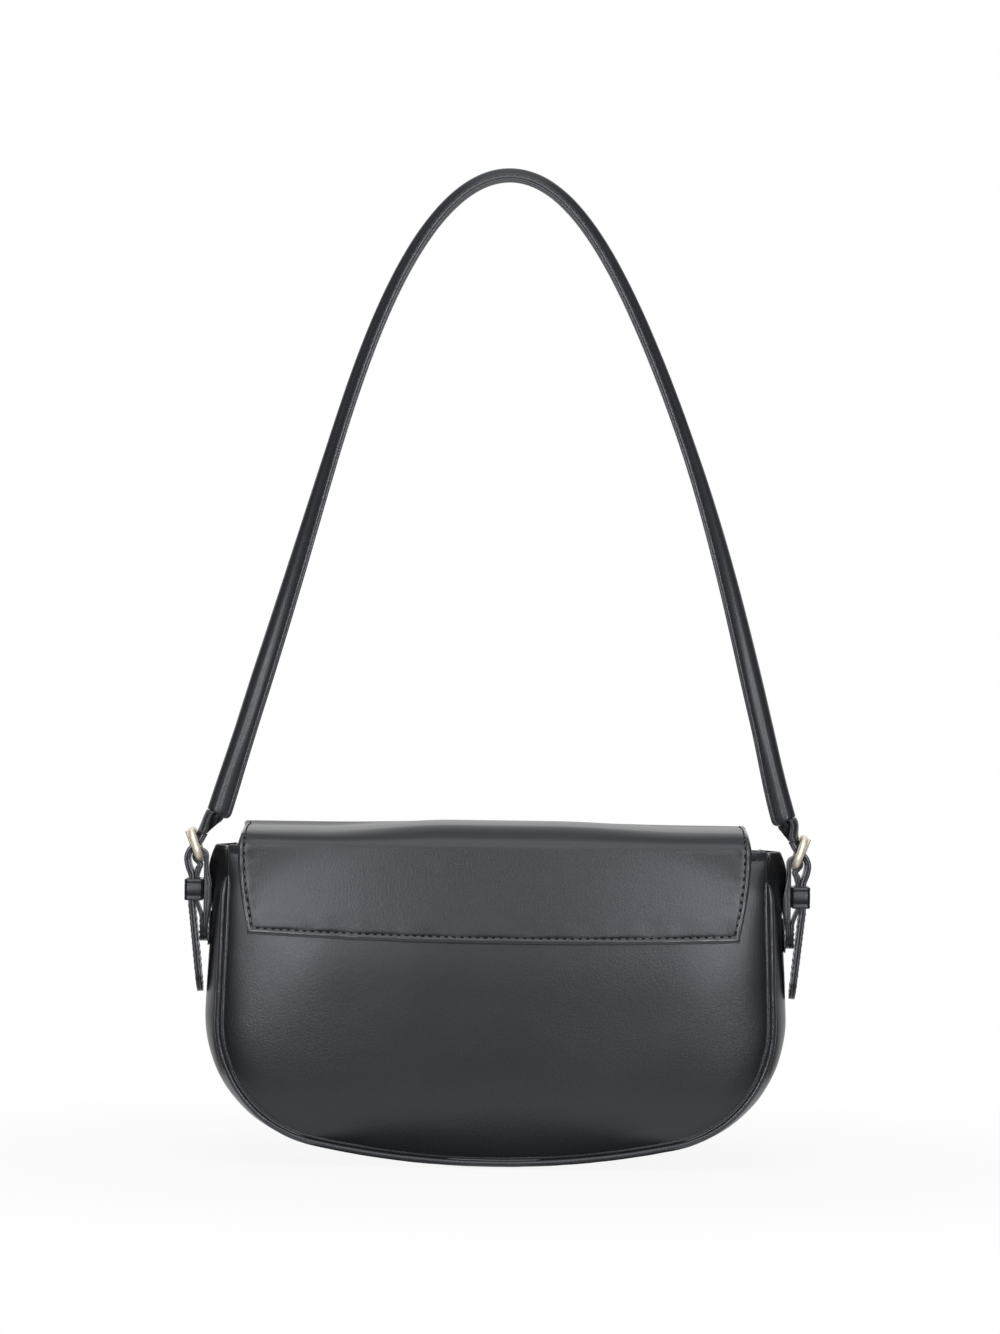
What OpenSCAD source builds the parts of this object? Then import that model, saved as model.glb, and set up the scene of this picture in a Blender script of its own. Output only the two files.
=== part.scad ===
// Shoulder bag with a rolled handle, a flap over the mouth and a buckled strap on each side.
// X runs across the bag, -Y is the back panel that carries the flap's yoke, Z is up.

/* [Bag body] */
// Width across the swelled sides
body_w = 260; // [230:1:300]
// Height of the mouth's edge above the ground
body_h = 141.5; // [125:0.5:170]
// Depth between the two panels' faces at their seams
body_d = 56; // [48:1:80]
// Radius of the lower corners, seen from the front
corner_r = 59; // [50:1:64]
// Radius of the gently curved bottom
bottom_r = 385; // [340:5:600]
// Lean of the sides towards the mouth, in degrees
side_lean = 3; // [2:0.1:6]
// How far the gusset swells out past the panels at the sides
side_swell = 8.5; // [6:0.1:11]
// How far the gusset swells below the panels at the bottom
bottom_swell = 4.8; // [3:0.1:8]
// Lean of the panels' own side edges, in degrees
panel_lean = 1.7; // [0:0.1:4]
// Swell of each panel's middle
panel_swell = 5; // [0:0.1:8]
// How deep the curved bottom is pressed flat where it stands
rest_flat = 0.8; // [0.4:0.1:2]
// Depth below the mouth's edge at which the gusset starts to fold inwards
fold_h = 29.5; // [20:0.5:40]

/* [Leather] */
// Thickness of the two panels
panel_t = 1.8; // [1.2:0.1:2.4]
// Thickness of the gusset
gusset_t = 1.6; // [1:0.1:2.2]
// Thickness of the flap and its yoke
flap_t = 1.6; // [1.2:0.1:2]
// Thickness of the lining and the pocket
lining_t = 0.8; // [0.5:0.1:1.2]
// Space between leather and lining, for the base board and the snap's washers
lining_gap = 1.2; // [1.2:0.1:2]
// Height of the leather facing inside the mouth
facing_h = 24; // [12:1:40]
// Radius of the piping
piping_r = 1.5; // [1:0.1:2]
// Depth below the mouth's edge at which the piping ends
piping_drop = 13.5; // [6:0.5:30]

/* [Inside] */
// Width of the slip pocket
pocket_w = 110; // [60:1:150]
// Height of the slip pocket
pocket_h = 62; // [40:1:80]
// Height of the pocket's lower edge
pocket_z = 36; // [26:1:50]
// Length of the base board
board_l = 130; // [80:1:160]
// Width of the base board
board_w = 38; // [24:1:44]
// Thickness of the base board
board_t = 0.8; // [0.5:0.1:0.8]

/* [Flap] */
// Width of the flap over the top
flap_w = 227.4; // [200:0.2:236]
// Width of the flap's lower edge, on the back and on the front
flap_low_w = 218.2; // [190:0.2:229]
// Radius of the two folds over the top, to the outer face
fold_r = 11; // [8:0.5:14]
// Depth of the yoke stitched to the back panel
yoke_h = 38.9; // [30:0.1:60]
// Bow of the yoke's lower edge
yoke_bow = 2.4; // [0:0.1:6]
// Length of the flap below the mouth's edge on the front
flap_drop = 104; // [80:1:115]
// Radius of the flap's lower corners
flap_corner_r = 38; // [20:1:60]

/* [Magnetic snap] */
// Radius of both halves
snap_r = 9; // [6:0.5:10]
// Height of the socket's housing
socket_h = 2; // [1.6:0.1:3]
// Thickness of the stud's plate
stud_plate_t = 0.8; // [0.6:0.1:1.2]
// Radius of the stud
stud_r = 3; // [2:0.1:4]
// Height of the stud
stud_h = 1.4; // [1:0.1:1.5]
// Thickness of the washers behind the leather
washer_t = 0.7; // [0.4:0.1:0.8]
// Height of the snap's middle, as a share of the mouth's height
snap_share = 0.438; // [0.4:0.002:0.57]

/* [Handle] */
// Rise of the handle above the mouth's edge
handle_rise = 304.1; // [278.5:0.2:378.5]
// How far the rolled part's ends stand in from the buckles' middle
foot_in = 8.5; // [6:0.1:16]
// Height of the rolled part's ends above the mouth's edge
foot_rise = 18.2; // [17.4:0.1:26]
// Lean of the handle's lower ends, in degrees
foot_lean = 16.9; // [12:0.1:20]
// Radius of the roll at the top
roll_r = 3.1; // [2.8:0.05:4]
// Radius of the roll at its lower ends
foot_r = 4.3; // [3.6:0.05:5]
// Width of the stitched flange along the roll
flange_w = 3; // [2:0.1:5]
// Thickness of the flange
flange_t = 2.4; // [1.8:0.1:3.2]
// Radius of the cord inside the roll
core_r = 1.9; // [1.4:0.05:2.2]

/* [Straps and buckles] */
// Width of the strap
strap_w = 15; // [12:0.5:15.5]
// Thickness of the strap
strap_t = 2.6; // [2:0.1:2.8]
// Length of the neck where the roll opens into the flat strap
neck_l = 10.4; // [9:0.1:11]
// Length of the strap's tail below the keeper
tail_l = 40; // [25:0.5:41]
// Distance of the buckle's middle outside the bag's side where the chape is sewn on
buckle_out = 7.01; // [6.81:0.05:7.91]
// Height of the buckle's middle above the mouth's edge
buckle_rise = 0; // [-2.5:0.1:1.5]
// Outer length of the buckle's frame
buckle_l = 15.3; // [15.2:0.1:16]
// Distance between the frame's two side rails, middle to middle
buckle_w = 20; // [19.6:0.1:24]
// Radius of the frame's wire
wire_r = 1.8; // [1.4:0.1:1.8]
// Radius of the frame's corners, to the wire's middle
wire_bend_r = 3.4; // [2:0.1:3.6]
// Tilt of the frame, top outwards, in degrees
buckle_tilt = 19; // [16:0.5:21]
// Radius of the prong
prong_r = 0.8; // [0.6:0.1:1]
// Depth of the prong's seat in the top bar
seat_h = 0.6; // [0.2:0.1:0.8]
// Width of the chape that holds the buckle
chape_w = 12; // [8:0.5:12.5]
// Thickness of the chape's leather
chape_t = 1.8; // [1.2:0.1:1.8]
// Depth below the mouth's edge of the pivot where the chape is sewn to the bag
chape_drop = 37.5; // [35.5:0.5:41.5]
// Depth of the keeper's middle below the mouth's edge
keeper_drop = 20.3; // [18.5:0.1:21.5]
// Height of the keeper along the strap
keeper_h = 9.6; // [6:0.1:10]
// Thickness of the keeper's leather
keeper_t = 1.5; // [1:0.1:1.6]
// Radius of the strap's adjusting holes
hole_r = 1.2; // [0.8:0.1:1.5]
// Distance between the adjusting holes
hole_step = 8; // [5:0.5:9]

/* [Hidden] */
$fn = 48;
leather = "#2b2c2f";
leather_edge = "#1b1b1d";
cloth = "#3a3634";
gold = "#d9c79a";
board = "#8a7a66";

// Clearances
seam_gap = 0.1; // between pieces sewn or glued together
sheet_gap = 0.3; // between swelled sheets
slide_gap = 0.3; // between pieces that move past each other
fold_gap = 0.4; // half of the gap at the front fold of the flap, which closes as it opens
overrun = 1; // by which a cut runs past what it cuts

// Heights and distances that go with the body's size
piping_top = body_h - piping_drop;
snap_z = snap_share * body_h;
handle_top = body_h + handle_rise;
foot_z = body_h + foot_rise;
buckle_z = body_h + buckle_rise;
chape_z = body_h - chape_drop;
keeper_z = body_h - keeper_drop;

// Segments along each stretch of an outline
bottom_n = 5;
corner_n = 9;
side_shares = [0.34, 0.63, 0.77, 0.9, 1]; // of the straight side, closer where the gusset folds
side_n = len(side_shares);
mouth_n = 12;

// A swelled panel: its outline, its middle and how far its swell reaches
panel_half = body_w / 2 - side_swell;
panel_low = bottom_swell - rest_flat;
panel_corner = corner_r - (side_swell + bottom_swell) / 2;
panel_mid = [0, (panel_low + body_h) / 2];
swell_shares = [1.02, 0.535]; // of the half width and of the height
swell_reach = [swell_shares[0] * panel_half, swell_shares[1] * (body_h - panel_low)];
swell_power = 3;

// What stands on the front panel, counted out from its face
snap_stack = seam_gap + socket_h + slide_gap + stud_plate_t + 2 * sheet_gap;
flap_lift = 0.7; // of the front flap's lining above the panel, near its edges
flap_stack = lining_t + seam_gap + flap_t;

function lerp(a, b, s) = a + (b - a) * s;
function smooth_step(s) = s * s * (3 - 2 * s);
function arc(c, r, a0, a1, n) = [for (i = [0:n]) let (a = lerp(a0, a1, i / n)) c + r * [sin(a), -cos(a)]];
function tail(list) = [for (i = [1:len(list) - 1]) list[i]];

// Right half of an outline from the bottom's middle up to the mouth: two arcs and a leaning side
function half_outline(w, low, r1, r2, lean, top) = let (
    cx = w - r1,
    cz = low + r2 - sqrt(pow(r2 - r1, 2) - cx * cx),
    meet = asin(cx / (r2 - r1)),
    knee = [cx, cz] + r1 * [cos(lean), sin(lean)],
    end = [knee[0] - (top - knee[1]) * tan(lean), top])
    concat(arc([0, low + r2], r2, 0, meet, bottom_n), tail(arc([cx, cz], r1, meet, 90 + lean, corner_n)),
        [for (s = side_shares) lerp(knee, end, s)]);
function whole(half) = concat([for (i = [len(half) - 1:-1:1]) [-half[i][0], half[i][1]]], half);

// Outline of the panels, drawn in by a margin, and of the gusset's swelled middle
function panel_outline(top, inset) = whole(half_outline(panel_half - inset, panel_low + inset,
    panel_corner - inset, bottom_r, panel_lean, top));
function outer_outline(top) = whole(half_outline(body_w / 2, -rest_flat, corner_r, bottom_r, side_lean, top));
function closed(outline) = concat(outline,
    [for (i = [1:mouth_n - 1]) lerp(outline[len(outline) - 1], outline[0], i / mouth_n)]);

// Half width of the bag at a height on its straight side
function side_at(z) = let (outline = outer_outline(body_h), knee = outline[len(outline) - 1 - side_n])
    knee[0] - (z - knee[1]) * tan(side_lean);
buckle_x = side_at(chape_z) + buckle_out;
foot_x = buckle_x - foot_in;

function normal(path, i) = let (d = path[min(i + 1, len(path) - 1)] - path[max(i - 1, 0)])
    [d[1], -d[0]] / norm(d);

// Swell of a panel at a point, and the distance of its face from the bag's middle
function swell(p) = let (a = abs(p[0]) / swell_reach[0], b = abs(p[1] - panel_mid[1]) / swell_reach[1],
    r = pow(pow(a, swell_power) + pow(b, swell_power), 1 / swell_power)) panel_swell * max(0, 1 - r * r);
function face(p) = body_d / 2 + swell(p);

// Where the bag stands: its box is centred, though the flap makes the front deeper than the back
snap_face = face([0, snap_z]);
front_reach = snap_face + snap_stack + flap_stack;
yoke_top = body_h - seam_gap;
yoke_low = yoke_top - yoke_h - yoke_bow;
back_reach = max(face(panel_mid), face([0, yoke_low]) + sheet_gap + flap_t);
module stand() translate([0, (back_reach - front_reach) / 2, 0]) children();

// Two triangles for each cell of a grid whose rows hold n points
function cells(rows, n, base, wrap) = [for (r = [0:rows - 2]) for (i = [0:n - (wrap ? 1 : 2)])
    let (a = base + r * n + i, b = base + r * n + (i + 1) % n) each [[a, b + n, b], [a, a + n, b + n]]];
function turned(faces, turn) = turn ? [for (f = faces) [f[2], f[1], f[0]]] : faces;

// A sheet between two faces given as rows of points
module skin(outer, inner, turn = false) {
    rows = len(outer);
    n = len(outer[0]);
    m = rows * n;
    first = [for (i = [0:n - 2]) each [[i, i + 1, i + m + 1], [i, i + m + 1, i + m]]];
    last = [for (i = [m - n:m - 2]) each [[i, i + m + 1, i + 1], [i, i + m, i + m + 1]]];
    left = [for (r = [0:rows - 2]) let (a = r * n) each [[a, a + n + m, a + n], [a, a + m, a + n + m]]];
    right = [for (r = [1:rows - 1]) let (a = r * n - 1) each [[a, a + n, a + n + m], [a, a + n + m, a + m]]];
    faces = concat(cells(rows, n, 0, false), turned(cells(rows, n, m, false), true), first, last, left, right);
    polyhedron(points = concat([for (row = outer) each row], [for (row = inner) each row]),
        faces = turned(faces, turn));
}

// A sheet with a closed outline, in rings drawn towards its middle; place(p, depth) puts a point in space
module plate(loop, mid, shares, place, t, turn = false) {
    n = len(loop);
    rows = len(shares);
    m = rows * n + 1;
    side = function (d) concat([for (k = shares) for (p = loop) place(lerp(mid, p, k), d)], [place(mid, d)]);
    fan = function (base) let (last = base + m - 1)
        [for (i = [0:n - 1]) [last - n + i, last, last - n + (i + 1) % n]];
    rim = [for (i = [0:n - 1]) let (j = (i + 1) % n) each [[i, j, m + j], [i, m + j, m + i]]];
    faces = concat(cells(rows, n, 0, true), fan(0), turned(concat(cells(rows, n, m, true), fan(m)), true), rim);
    polyhedron(points = concat(side(0), side(t)), faces = turned(faces, turn));
}

// A solid through closed rings of points, with flat ends
module loft(rings) {
    n = len(rings[0]);
    last = (len(rings) - 1) * n;
    polyhedron(points = [for (ring = rings) each ring], faces = concat(cells(len(rings), n, 0, true),
        [[for (i = [0:n - 1]) i]], [[for (i = [n - 1:-1:0]) last + i]]));
}

// The same with a bore of as many points
module hollow_loft(rings, bores) {
    n = len(rings[0]);
    m = len(rings) * n;
    last = m - n;
    foot = [for (i = [0:n - 1]) let (j = (i + 1) % n) each [[i, j, m + j], [i, m + j, m + i]]];
    head = [for (i = [0:n - 1]) let (j = (i + 1) % n)
        each [[last + i, last + m + j, last + j], [last + i, last + m + i, last + m + j]]];
    polyhedron(points = concat([for (ring = rings) each ring], [for (ring = bores) each ring]),
        faces = concat(cells(len(rings), n, 0, true), turned(cells(len(rings), n, m, true), true), foot, head));
}

// A smooth path through points, and a ribbon of even thickness along a path
path_n = 4;
function at(list, i) = list[min(max(i, 0), len(list) - 1)];
function smooth(p) = concat([for (i = [0:len(p) - 2]) for (k = [0:path_n - 1])
    let (s = k / path_n, a = at(p, i - 1), b = p[i], c = p[i + 1], d = at(p, i + 2),
    bend = a - 2.5 * b + 2 * c - d / 2, turn = 1.5 * b - a / 2 - 1.5 * c + d / 2)
    b + (c - a) * s / 2 + bend * s * s + turn * s * s * s], [p[len(p) - 1]]);
module ribbon(path, t) polygon(concat([for (i = [0:len(path) - 1]) path[i] + normal(path, i) * t / 2],
    [for (i = [len(path) - 1:-1:0]) path[i] - normal(path, i) * t / 2]));

// Extrudes a profile drawn in X and Z, evenly to both sides of Y = 0
module across(w) rotate([90, 0, 0]) linear_extrude(w, center = true) children();
module both_sides(right) mirror([right ? 0 : 1, 0, 0]) children();

// Panels, facings and linings: layers behind the panel's face
panel_shares = [1, 0.92, 0.84, 0.7, 0.5, 0.26];
lining_shares = [1, 0.85, 0.6, 0.3];
lining_depth = panel_t + lining_gap;
facing_low = body_h - facing_h;
lining_top = facing_low - seam_gap;
lining_inset = gusset_t + lining_gap + lining_t + seam_gap;

// side is -1 on the back and 1 on the front; depth counts inwards from the panel's face
function layer(side, depth) = function (p, d) [p[0], side * (face(p) - depth - d), p[1]];

module panel(side) stand() plate(closed(panel_outline(body_h, 0)), panel_mid, panel_shares, layer(side, 0),
    panel_t, side > 0);
module back_panel() color(leather) panel(-1);
module front_panel() color(leather) panel(1);

module lining(side) stand() plate(closed(panel_outline(lining_top, lining_inset)),
    [0, (panel_low + lining_top) / 2], lining_shares, layer(side, lining_depth), lining_t, side > 0);
module back_lining() color(cloth) lining(-1);
module front_lining() color(cloth) lining(1);

facing_half = panel_half - (body_h - panel_low) * tan(panel_lean) - lining_inset;
facing_n = 16;
facing_rows = 3;
facing_t = lining_gap - 2 * seam_gap;
module facing(side) {
    rows = function (d) [for (k = [0:facing_rows]) [for (i = [0:facing_n])
        layer(side, panel_t + sheet_gap)([lerp(-facing_half, facing_half, i / facing_n),
        lerp(facing_low, body_h, k / facing_rows)], d)]];
    stand() skin(rows(0), rows(facing_t), side > 0);
}
module back_facing() color(leather) facing(-1);
module front_facing() color(leather) facing(1);

pocket_n = 6;
module slip_pocket() {
    place = layer(-1, lining_depth + lining_t + sheet_gap);
    rows = function (d) [for (k = [0:pocket_n]) [for (i = [0:pocket_n])
        place([pocket_w * (i / pocket_n - 0.5), pocket_z + pocket_h * k / pocket_n], d)]];
    color(cloth) stand() skin(rows(0), rows(lining_t));
}

// Gusset: from the panel's outline out to the swelled one and back, over the depth of the bag
flat_share = 0.88; // of the half depth, where the swell ends beside the piping
cross_power = 2.4;
gusset_shares = [-1, -0.88, -0.74, -0.5, -0.25, 0, 0.25, 0.5, 0.74, 0.88, 1];
lining_reach = lining_depth + lining_t + seam_gap; // from the panels' faces to the ends of the gusset's lining
board_share = board_w / 2 / (body_d / 2 - lining_reach);
board_shares = board_share * [-1, -0.5, 0, 0.5, 1];
fold_power = 1.7; // of the swell at the mouth, where the gusset folds inwards beside its middle
fold_share = 0.76; // of the depth of the fold, over which it forms
function fold_at(z) = smooth_step(min(1, max(0, (z - body_h + fold_h) / (fold_share * fold_h))));
function cross_swell(v, z) = let (a = abs(v) / flat_share)
    lerp(max(0, 1 - pow(a, cross_power)), pow(max(0, 1 - a), fold_power), fold_at(z));
function gusset_point(panel, outer, i, v, depth, reach) = let (
    p = lerp(panel[i], outer[i], cross_swell(v, panel[i][1])) - normal(panel, i) * depth)
    [p[0], v * (face(panel[i]) - reach), max(p[1], depth)];

module wrap(top, shares, depth, t, reach, first, last) {
    panel = panel_outline(top, 0);
    outer = outer_outline(top);
    rows = function (d) [for (i = [first:last])
        [for (v = shares) gusset_point(panel, outer, i, v, depth + d, reach)]];
    stand() skin(rows(0), rows(t));
}
station_n = 2 * (bottom_n + corner_n + side_n);
module gusset() color(leather) wrap(body_h, gusset_shares, 0, gusset_t, panel_t + seam_gap, 0, station_n);
module gusset_lining() color(cloth) wrap(lining_top, concat([-1], board_shares, [1]), gusset_t + lining_gap,
    lining_t, lining_reach, 0, station_n);

// Base board, between the gusset and its lining, bent to the same stations
mid_n = station_n / 2;
module base_board() {
    panel = panel_outline(lining_top, 0);
    outer = outer_outline(lining_top);
    half = board_l / 2;
    past = [for (i = [mid_n:mid_n + bottom_n + 1]) if (panel[i][0] > half) i][0];
    share = (half - panel[past - 1][0]) / (panel[past][0] - panel[past - 1][0]);
    point = function (i, v, d) gusset_point(panel, outer, i, v, gusset_t + sheet_gap + d, lining_reach);
    end = function (side, v, d) lerp(point(mid_n + side * (past - 1 - mid_n), v, d),
        point(mid_n + side * (past - mid_n), v, d), share);
    rows = function (d) concat([[for (v = board_shares) end(-1, v, d)]],
        [for (i = [2 * mid_n - past + 1:past - 1]) [for (v = board_shares) point(i, v, d)]],
        [[for (v = board_shares) end(1, v, d)]]);
    color(board) stand() skin(rows(0), rows(board_t));
}

// Piping in the seam between each panel and the gusset, with its upper ends drawn out to a point
piping_n = 6;
tip_l = 7;
tip_share = 0.35; // of the piping's radius
module piping(side) {
    tips = panel_outline(piping_top, 0);
    path = concat([tips[0]], panel_outline(piping_top - tip_l, 0), [tips[len(tips) - 1]]);
    stand() loft([for (i = [0:len(path) - 1]) let (n = normal(path, i), end = i == 0 || i == len(path) - 1,
        r = piping_r * (end ? tip_share : 1), c = path[i] + n * (r + seam_gap))
        [for (k = [0:piping_n - 1]) let (a = 360 * k / piping_n, p = c + n * r * cos(a))
        [p[0], side * (face(path[i]) - piping_r + seam_gap) + r * sin(a), p[1]]]]);
}
module back_piping() color(leather) piping(-1);
module front_piping() color(leather) piping(1);

// Flap: yoke on the back panel, top over the mouth, front down the front panel
fold_z = body_h + seam_gap + slide_gap; // where the flap leaves the back panel
mouth_swell = swell([0, body_h]);
back_face = body_d / 2 + mouth_swell + sheet_gap + flap_t; // outer face of the leather at the back fold
front_face = body_d / 2 + mouth_swell + flap_lift + flap_stack; // and at the front fold
front_turn = 45; // of the front fold that belongs to the top
cols_n = 10;
fold_n = 4; // segments over an eighth of a turn

// Outer face of the path over the top, from the back fold to the joint at the front, at a depth below it
function top_path(depth) = let (r = fold_r - depth)
    concat(arc([-back_face + fold_r, fold_z], r, 270, 180, 2 * fold_n),
        arc([front_face - fold_r, fold_z], r, 180, 180 - front_turn, fold_n));
module top_sheet(depth, t) stand() rotate([90, 0, 90]) linear_extrude(flap_w, center = true) difference() {
    polygon(concat(top_path(depth), [for (i = [len(top_path(0)) - 1:-1:0]) top_path(depth + t)[i]]));
    // fold gap at the front joint
    translate(front_joint) rotate(-front_turn) translate([-fold_gap, -fold_r]) square([fold_r, 2 * fold_r]);
}
front_joint = [front_face - fold_r, fold_z] + fold_r * [sin(front_turn), cos(front_turn)];
module flap_top() color(leather) top_sheet(0, flap_t);
module flap_top_lining() color(cloth) top_sheet(flap_t + seam_gap, lining_t);

yoke_rows = 4;
yoke_n = 16;
module flap_yoke() {
    rows = function (d) [for (k = [0:yoke_rows]) [for (i = [0:yoke_n])
        let (s = k / yoke_rows, u = 2 * i / yoke_n - 1, w = lerp(flap_low_w, flap_w, min(1, 2 * s)) / 2,
        z = lerp(yoke_low + yoke_bow * u * u, yoke_top, s), p = [u * w, z])
        [p[0], -(face(p) + sheet_gap + flap_t - d), p[1]]]];
    color(leather) stand() skin(rows(0), rows(flap_t));
}

// Front of the flap, by the distance s along it from the front joint
fold_len = fold_r * PI / 180 * (90 - front_turn);
front_len = fold_len + fold_z - body_h + flap_drop;
bulge_share = 0.25; // of the bag's width, over which the snap lifts the flap
drop_n = 7;
lower_n = 6; // over the round corners
function front_bulge(p) = let (r = norm(p - [0, snap_z]) / (bulge_share * body_w))
    face(p) - body_d / 2 - mouth_swell + (snap_stack - flap_lift) * exp(-r * r);
function front_half(s) = let (w = lerp(flap_w, flap_low_w, s / front_len) / 2,
    d = max(0, s - front_len + flap_corner_r))
    w - flap_corner_r + sqrt(flap_corner_r * flap_corner_r - d * d);
function front_point(u, s, depth) = let (a = front_turn + s / fold_r * 180 / PI, r = fold_r - depth,
    x = u * front_half(s))
    s < fold_len ? [x, front_face - fold_r + r * sin(a), fold_z + r * cos(a)]
    : let (z = fold_z - (s - fold_len), ease = smooth_step(min(1, (s - fold_len) / fold_r)))
        [x, front_face - depth + ease * front_bulge([x, z]), z];
front_rows = concat([fold_gap, fold_len / 2, fold_len], [for (k = [1:drop_n])
    lerp(fold_len, front_len - flap_corner_r, k / drop_n)],
    [for (k = [1:lower_n]) front_len - flap_corner_r * (1 - sin(90 * k / lower_n))]);
module front_sheet(depth, t) {
    rows = function (d) [for (s = front_rows)
        [for (i = [0:cols_n]) front_point(2 * i / cols_n - 1, s, depth + d)]];
    stand() skin(rows(0), rows(t), false);
}
module flap_front() color(leather) front_sheet(0, flap_t);
module flap_front_lining() color(cloth) front_sheet(flap_t + seam_gap, lining_t);

// Magnetic snap: socket with its magnet on the front panel, stud on the flap, a washer behind each
module disc(y, r, h) stand() translate([0, y, snap_z]) rotate([-90, 0, 0]) cylinder(r = r, h = h);
socket_y = snap_face + seam_gap;
magnet_share = 0.72; // of the socket's radius
magnet_r = magnet_share * snap_r;
magnet_h_share = 0.7; // of the socket's height
magnet_h = magnet_h_share * socket_h;
stud_bore_r = stud_r + slide_gap;
bore_wall = 0.75;
module ring(y, r, hole, h) difference() {
    disc(y, r, h);
    disc(y - overrun, hole, h + 2 * overrun);
}
module snap_socket() color(gold) difference() {
    ring(socket_y, snap_r, stud_bore_r, socket_h);
    ring(socket_y - overrun, magnet_r, stud_bore_r + bore_wall, overrun + magnet_h);
}
module snap_magnet() color("dimgray") ring(socket_y, magnet_r - seam_gap, stud_bore_r + bore_wall + seam_gap,
    magnet_h - seam_gap);
module socket_washer() color(gold) ring(snap_face - panel_t - sheet_gap - washer_t, snap_r, stud_r, washer_t);
stud_y = socket_y + socket_h + slide_gap;
module snap_stud() color(gold) {
    disc(stud_y, snap_r, stud_plate_t);
    disc(stud_y - stud_h, stud_r, stud_h);
}

// Handle: half of it is one curve from the top down to its foot, then a short straight end
shoulder_share = 0.442; // of foot_x
foot_pull_share = 0.44; // of the rise
handle_n = 24;
axis_top = handle_top - roll_r;
foot = [foot_x, foot_z];
foot_dir = [sin(foot_lean), -cos(foot_lean)];
foot_end_l = 4; // straight end below each foot
curve_points = [[0, axis_top], [shoulder_share * foot_x, axis_top],
    foot - foot_dir * foot_pull_share * (axis_top - foot_z), foot];
function curve(t) = pow(1 - t, 3) * curve_points[0] + 3 * pow(1 - t, 2) * t * curve_points[1]
    + 3 * (1 - t) * t * t * curve_points[2] + pow(t, 3) * curve_points[3];
right_half = concat([for (i = [0:handle_n]) curve(i / handle_n)], [foot + foot_dir * foot_end_l]);
handle_path = whole(right_half);

// Section of the roll with its flange: the flange points into the arch and to the back, and turns
// further to the back as the roll gets thinner up to the shoulders
section_n = 12;
foot_turn = 40;
shoulder_turn = 66;
top_turn = 74;
roll_share = 0.565; // of the rise, over which the roll gets thinner
roll_power = 1.3;
function section(r, reach, h) = let (b = asin(h / r)) concat([[r + reach, h], [r + reach, -h]],
    [for (k = [0:section_n - 3]) let (a = -b - k * (360 - 2 * b) / (section_n - 3)) r * [cos(a), sin(a)]]);
function round_section(r) = [for (k = [0:section_n - 1]) let (a = -360 * k / section_n) r * [cos(a), sin(a)]];
function up_share(z) = max(0, (z - foot_z) / (axis_top - foot_z)) / roll_share;
function twist(z) = let (s = up_share(z)) s < 1 ? lerp(foot_turn, shoulder_turn, s)
    : lerp(shoulder_turn, top_turn, (s - 1) / (1 / roll_share - 1));
function roll_at(z) = lerp(foot_r, roll_r, pow(min(1, up_share(z)), roll_power));
function place_section(c, dir, turn, pts) = let (u = [dir[1], 0, -dir[0]], v = [0, -1, 0],
    f = u * cos(turn) + v * sin(turn), g = v * cos(turn) - u * sin(turn))
    [for (p = pts) [c[0], 0, c[1]] + f * p[0] + g * p[1]];
function handle_rings(pts) = [for (i = [0:len(handle_path) - 1])
    let (c = handle_path[i], n = normal(handle_path, i))
    place_section(c, [-n[1], n[0]], twist(c[1]), pts(c[1]))];

module handle_cover() color(leather) stand() hollow_loft(
    handle_rings(function (z) section(roll_at(z), flange_w, flange_t / 2)),
    handle_rings(function (z) round_section(core_r + seam_gap)));
module handle_core() color(cloth) stand() loft(handle_rings(function (z) round_section(core_r)));

// Straps, chapes, buckles and keepers, drawn for the right side
frame_c = [buckle_x, buckle_z];
along = [sin(buckle_tilt), cos(buckle_tilt)];
outward = [cos(buckle_tilt), -sin(buckle_tilt)];
bar_off = buckle_l / 2 - wire_r;
bar_c = frame_c - along * bar_off;
top_bar_c = frame_c + along * bar_off;
neck_start = foot + foot_dir * (foot_end_l + seam_gap);
neck_end = neck_start + foot_dir * neck_l;
neck_t = 1.8; // of the channel's leather where it leaves the roll
spine_r = foot_r - neck_t / 2;
spine_share = 0.6; // of its distance from the roll's axis that the spine keeps down to the strap
inward = [foot_dir[1], -foot_dir[0]];
chape_r = wire_r + seam_gap + chape_t; // outer radius of the chape round the bar
chape_x = bar_c[0] - chape_r; // its face towards the bag

// Keeper: round the chape's outer layer and the strap
layer_t = 1.5; // the chape's outer layer, skived
inner_gap = 0.6; // between the keeper and the chape's inner layer
cavity_x0 = chape_x + chape_t + inner_gap + keeper_t;
layer_gap = 0.25; // between the layers inside the keeper
layer_x = cavity_x0 + layer_gap + layer_t / 2;
strap_x = layer_x + layer_t / 2 + layer_gap + strap_t / 2;
cavity_x1 = strap_x + strap_t / 2 + layer_gap;
keeper_low = keeper_z - keeper_h / 2;
keeper_high = keeper_z + keeper_h / 2;

// The strap's route from the neck through the frame and over the bar, in shares of the frame's length
strap_route_shares = [[-0.02, 0.02], [0.15, -0.15], [0.24, -0.385], [0.2, -0.66]];
tail_lean = 6.2; // below the keeper, back towards the bag
ease = 1.2; // past the keeper and the neck, where the layers start to bend
strap_start = neck_end + foot_dir * 2 * seam_gap - inward * spine_r * spine_share;
bend = 4; // and where the strap has its full lean
tail_dir = [-sin(tail_lean), -cos(tail_lean)];
tail_start = [strap_x, keeper_low - ease];
tail_end = tail_start + tail_dir * tail_l;
strap_route = concat([strap_start, strap_start + foot_dir * ease],
    [for (s = strap_route_shares) frame_c + s * buckle_l], [[strap_x, keeper_high + ease], [strap_x, keeper_z],
    tail_start, tail_start + tail_dir * bend, tail_start + tail_dir * 2 * bend]);

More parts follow.
